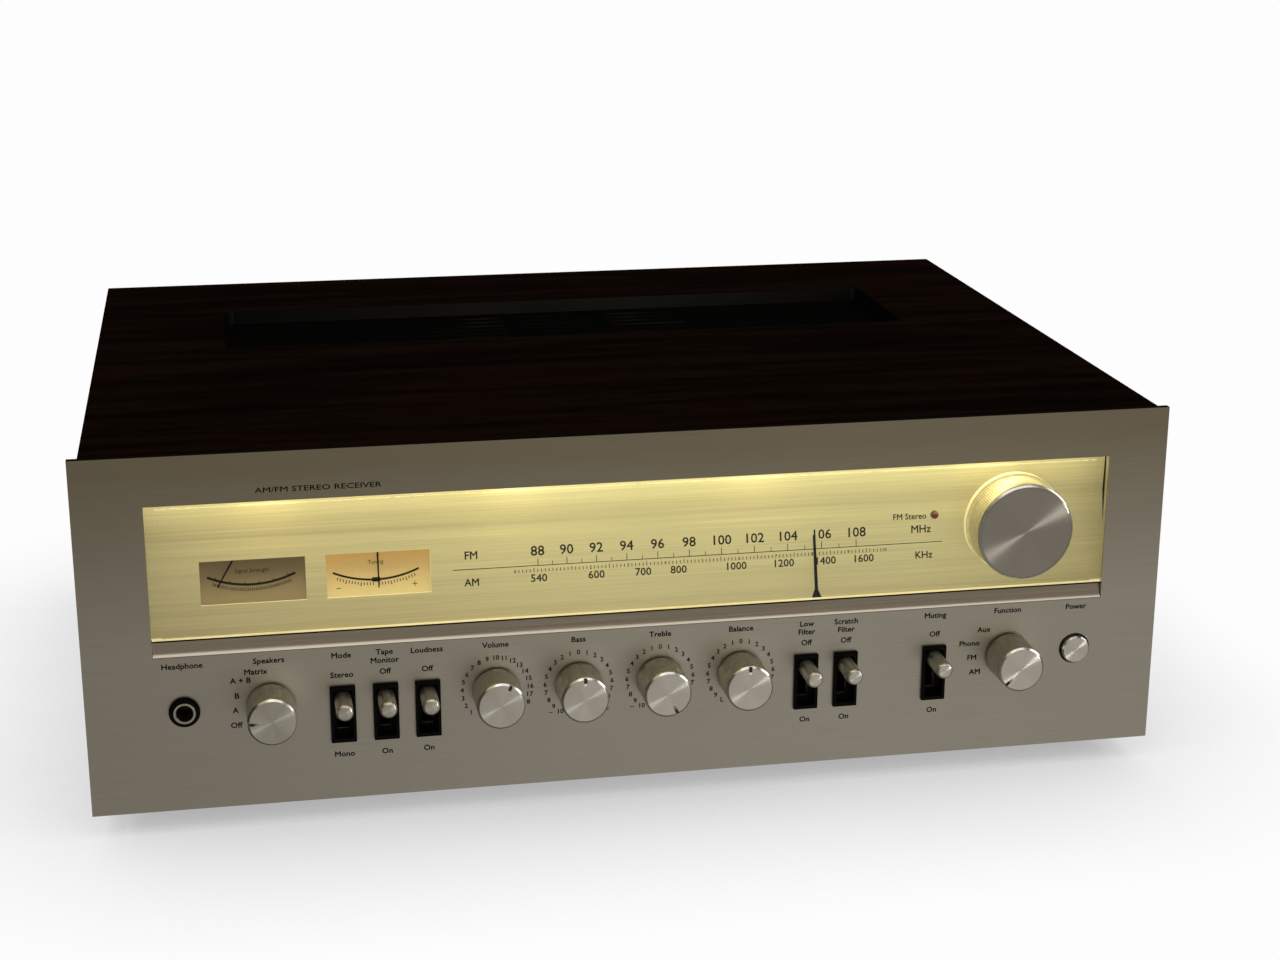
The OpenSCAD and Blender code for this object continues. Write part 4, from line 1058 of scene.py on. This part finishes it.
def build_screws():
    """Pan heads with a cross recess, over the CAD screws."""
    bm = bmesh.new()
    spots = []
    for side in (-1, 1):
        for y in (60, 260):
            spots.append((Vector((side * 221.05, y, 11)), Vector((side, 0, 0)), 15))
    for x in (-195, -70, 70, 195):
        spots.append((Vector((x, 315.25, 9)), Vector((0, 1, 0)), 8))
    profile = [(0.0, 0.0), (4.0, 0.0), (4.0, -0.5), (3.7, -1.2), (3.0, -1.75), (2.0, -2.0), (0.0, -2.0)]
    for at, outward, length in spots:
        head = bmesh.new()
        add_lathe(head, profile, steps=32)
        shank = [(0.0, -0.01), (2.0, -0.01), (2.0, length - 1.5), (1.0, length), (0.0, length)]
        add_lathe(head, shank, steps=24)
        spin = Vector((0, -1, 0)).rotation_difference(outward).to_matrix()
        bmesh.ops.rotate(head, verts=head.verts, matrix=spin)
        bmesh.ops.translate(head, verts=head.verts, vec=at)
        mesh = bpy.data.meshes.new("head")
        head.to_mesh(mesh)
        head.free()
        bm.from_mesh(mesh)
        bpy.data.meshes.remove(mesh)
    screws = piece("case_screws", bm, STEEL, "body", "screws")
    cut = bmesh.new()
    for at, outward, _ in spots:
        across = Vector((0, 0, 1))
        other = outward.cross(across)
        for long in (across, other):
            wide = other if long is across else across
            corners = add_box(cut, (-1, -1, -1), (1, 1, 1))
            for v in corners:
                c = v.co.copy()
                v.co = at + long * c.x * 2.0 + wide * c.y * 0.35 + outward * (1.9 + c.z * 0.9)
    # Painted shade: the cross recesses take the black ink of their cutter.
    carve(screws, piece("cutter", cut, INK, body=None))


# ------------------------------------------------------------------ tuning drive

def build_drive():
    refined("dial_drum", NYLON, 0.25, body="dial_drum")
    refined("capacitor_rotor", STEEL, 0.1, body="dial_drum", segments=1)
    refined("tuning_capacitor", ZINC, 0.2, segments=1)
    refined("left_pulley", NYLON, 0.1, body="left_pulley", segments=1)
    refined("right_pulley", NYLON, 0.1, body="right_pulley", segments=1)


def tangent_angle(a, ra, b, rb, side):
    """The CAD's own rule for where a cord leaves wheel a for wheel b, in degrees."""
    gap = b - a
    return math.degrees(math.atan2(gap.y, gap.x)) + side * math.degrees(math.acos((ra - rb) / gap.length))


def build_cord():
    """The whole cord path: along the dial, over the spindle and once more round the drum."""
    plane, drum_plane = 20.0, 31.0
    left, right = (Vector((middle(n).x, middle(n).z)) for n in ("left_pulley", "right_pulley"))
    drum = Vector((middle("dial_drum").x, middle("dial_drum").z))
    spindle = Vector((TUNING.x, TUNING.z))
    pulley_r, drum_r, spindle_r = 6.0, 50.0, 3.0
    path = []

    def arc(centre, radius, a0, a1, y0, y1, step):
        count = max(2, int(abs(a1 - a0) / step))
        for i in range(count + 1):
            t = i / count
            angle = math.radians(a0 + (a1 - a0) * t)
            path.append((centre.x + radius * math.cos(angle), y0 + (y1 - y0) * t,
                         centre.y + radius * math.sin(angle)))

    left_out = tangent_angle(left, pulley_r, drum, drum_r, 1)
    right_out = tangent_angle(right, pulley_r, spindle, -spindle_r, -1)
    drum_out = tangent_angle(spindle, spindle_r, drum, -drum_r, 1)
    arc(left, pulley_r, left_out, 270, plane, plane, 12)
    arc(right, pulley_r, -90, right_out, plane, plane, 12)
    arc(spindle, spindle_r, right_out + 180, drum_out - 720, plane - 0.8, plane + 0.8, 20)
    arc(drum, drum_r, drum_out + 180 - 360, left_out, drum_plane - 0.55, drum_plane + 0.55, 4)
    path.append(path[0])
    bm = bmesh.new()
    add_tube(bm, path, 0.42, sides=8)
    piece("dial_cord_line", bm, CORD, "body", "dial_cord")


# ------------------------------------------------------------------ inside and back

def build_inside():
    refined("control_pots", ZINC, 0.15, segments=1)
    refined("rotary_switches", PHENOLIC, 0.15, segments=1)
    refined("switch_bodies", DEEP_BLACK, 0.3, segments=1)
    refined("power_transformer", CORE, 0.8)
    refined("heat_sink", SINK, 0.2, segments=1)
    refined("filter_capacitors", SLEEVE, 0.4)
    refined("circuit_boards", BOARD, 0.15, segments=1)


def build_rear():
    bm = bmesh.new()
    add_box(bm, (100, mm_box("rear_jacks")[0].y, 18), (180, 313.9, 56))
    soften(bm, 0.5)
    piece("phono_jack_block", bm, BLACK_PLASTIC, "body", "rear_jacks")
    shells = bmesh.new()
    rings = {0: bmesh.new(), 1: bmesh.new()}
    shell = [(1.7, 315.2), (1.7, 324.6), (2.1, 325.2), (3.7, 325.2), (4.15, 324.7), (4.15, 313.0),
             (1.7, 313.0), (1.7, 315.2)]
    collar = [(4.2, 315.25), (5.6, 315.25), (5.6, 316.4), (5.2, 316.8), (4.2, 316.8), (4.2, 315.25)]
    for i in range(4):
        for j in range(2):
            centre = (110 + i * 20, 28 + j * 18)
            add_lathe(shells, shell, centre, steps=40)
            add_lathe(rings[j], collar, centre, steps=40)
    for bm in (shells, rings[0], rings[1]):
        bmesh.ops.remove_doubles(bm, verts=bm.verts, dist=0.001)
    piece("phono_jack_shells", shells, NICKEL, "body", ())
    piece("phono_jack_rings_red", rings[0], RED_PLASTIC, "body", ())
    piece("phono_jack_rings_cream", rings[1], CREAM_PLASTIC, "body", ())
    refined("rear_terminals", BLACK_PLASTIC, 0.3)
    refined("antenna_bracket", BLACK_PLASTIC, 0.3)
    refined("am_antenna", BLACK_PLASTIC, 0.4, body="am_antenna")
    refined("power_cord", RUBBER, 0.3)


# ------------------------------------------------------------------ floor, light and camera

def link(obj):
    bpy.context.scene.collection.objects.link(obj)
    return obj


def build_floor():
    bm = bmesh.new()
    half = 3.0
    bm.faces.new([bm.verts.new((x * half, y * half, 0)) for x, y in ((-1, -1), (1, -1), (1, 1), (-1, 1))])
    mesh = bpy.data.meshes.new("floor")
    bm.to_mesh(mesh)
    bm.free()
    mat = bpy.data.materials.new("floor")
    mat.use_nodes = True
    mat.node_tree.nodes.clear()
    # Painted shadow: the floor glows at the backdrop's white, darker where the object is near it, as its
    # contact shadow.
    occlusion = node(mat, "AmbientOcclusion", {"Distance": 0.12}, samples=8).outputs["AO"]
    shade = node(mat, "MapRange", {"Value": occlusion, "To Min": 0.40, "To Max": BACKDROP[0]})
    glow = node(mat, "Emission", {"Color": shade.outputs["Result"]})
    node(mat, "OutputMaterial", {"Surface": glow.outputs[0]})
    mesh.materials.append(mat)
    floor = link(bpy.data.objects.new("floor", mesh))
    floor.visible_diffuse = False
    floor.visible_glossy = False
    floor.visible_shadow = False
    floor.visible_transmission = False


def area_light(name, at, target, size, power, colour, size_y=None):
    data = bpy.data.lights.new(name, "AREA")
    data.energy = power
    data.color = colour
    data.size = size
    if size_y:
        data.shape = "RECTANGLE"
        data.size_y = size_y
    light = link(bpy.data.objects.new(name, data))
    light.location = at
    light.rotation_euler = (Vector(target) - Vector(at)).to_track_quat("-Z", "Y").to_euler()
    light.visible_camera = False
    return light


def build_world():
    """White to the camera; for the object a dim room, brighter in front and to the right and dark behind."""
    world = bpy.data.worlds.new("studio")
    bpy.context.scene.world = world
    world.use_nodes = True
    direction = node(world, "TexCoord").outputs["Generated"]
    facing = node(world, "VectorMath", {0: direction, 1: ROOM_FRONT}, operation="DOT_PRODUCT")
    glow = ramp(world, remap(world, facing.outputs["Value"], -1.0, 1.0, 0.0, 1.0), *ROOM_GLOW)
    glow.node.color_ramp.interpolation = "EASE"
    to_camera = node(world, "LightPath").outputs["Is Camera Ray"]
    set_input(world, world.node_tree.nodes["Background"], "Color", mix(world, to_camera, glow, BACKDROP))


def receivers(name, wanted):
    """The meshes whose names pass a test, as the only ones that a light acts on."""
    group = bpy.data.collections.new(name)
    for obj in bpy.context.scene.objects:
        if obj.type == "MESH" and wanted(obj.name):
            group.objects.link(obj)
    return group


def build_light():
    build_world()
    centre = Vector((0, PANEL_LOW.y, 0.07))
    area_light("soft", centre + Vector((0.33, -0.88, -0.36)) * 1.6, centre, 0.9, 0.6, (1.0, 0.97, 0.92))
    shiny = receivers("shiny", lambda name: name.endswith(("_cap", "_pin", "window_sill_shell")))
    warm = area_light("warm", centre + Vector((-0.4, -0.35, 0.85)) * 0.9, centre, 0.8, 0.9, (1.0, 0.88, 0.55))
    warm.light_linking.receiver_collection = shiny
    for name, way, distance, size, power in (("streak", (0.78, -0.62, -0.05), 2.5, 0.30, 12.0),
                                             ("overhead", (0.15, -0.62, 0.77), 1.6, 1.4, 5.5),
                                             ("beside", (0.92, -0.12, 0.38), 1.6, 0.8, 4.0)):
        light = area_light(name, centre + Vector(way) * distance, centre, size, power, (1.0, 0.98, 0.94))
        light.light_linking.receiver_collection = shiny
    back = centre + Vector((0, 0.35, 0))
    behind = area_light("behind", back + Vector((0.35, 0.9, 0.45)) * 1.5, back, 1.2, 14.0, (1.0, 0.98, 0.94))
    behind.light_linking.receiver_collection = receivers("rear", lambda name: name.startswith(REAR_PARTS))
    for i in range(4):
        at = ORIGIN + Vector((-150 + 100 * i, 7.0, 131.0)) * MM
        area_light(f"dial_strip_{i}", at, at + Vector((0, -0.002, -0.1)), 0.098, 0.010, (1.0, 0.90, 0.52),
                   size_y=0.006)


def build_camera():
    data = bpy.data.cameras.new("camera")
    data.lens = 62.6
    data.sensor_width = 36.0
    camera = link(bpy.data.objects.new("camera", data))
    right = Vector(CAMERA_RIGHT)
    forward = Vector(CAMERA_FORWARD)
    up = right.cross(forward)
    turn = Matrix((right, up, -forward)).transposed().to_4x4()
    camera.matrix_world = Matrix.Translation(ORIGIN + Vector(CAMERA_AT) * MM) @ turn
    data.clip_start = 0.01
    bpy.context.scene.camera = camera
    bpy.context.scene.view_settings.view_transform = "Standard"


build_faceplate()
build_lens()
build_dial()
build_lamps()
build_panel_lettering()
build_dial_lettering()
build_signal_print()
build_tuning_print()
build_knobs()
build_levers()
build_bezels()
build_button_and_jack()
build_pointer_and_needles()
build_case()
build_screws()
build_drive()
build_cord()
build_inside()
build_rear()
build_floor()
build_light()
build_camera()
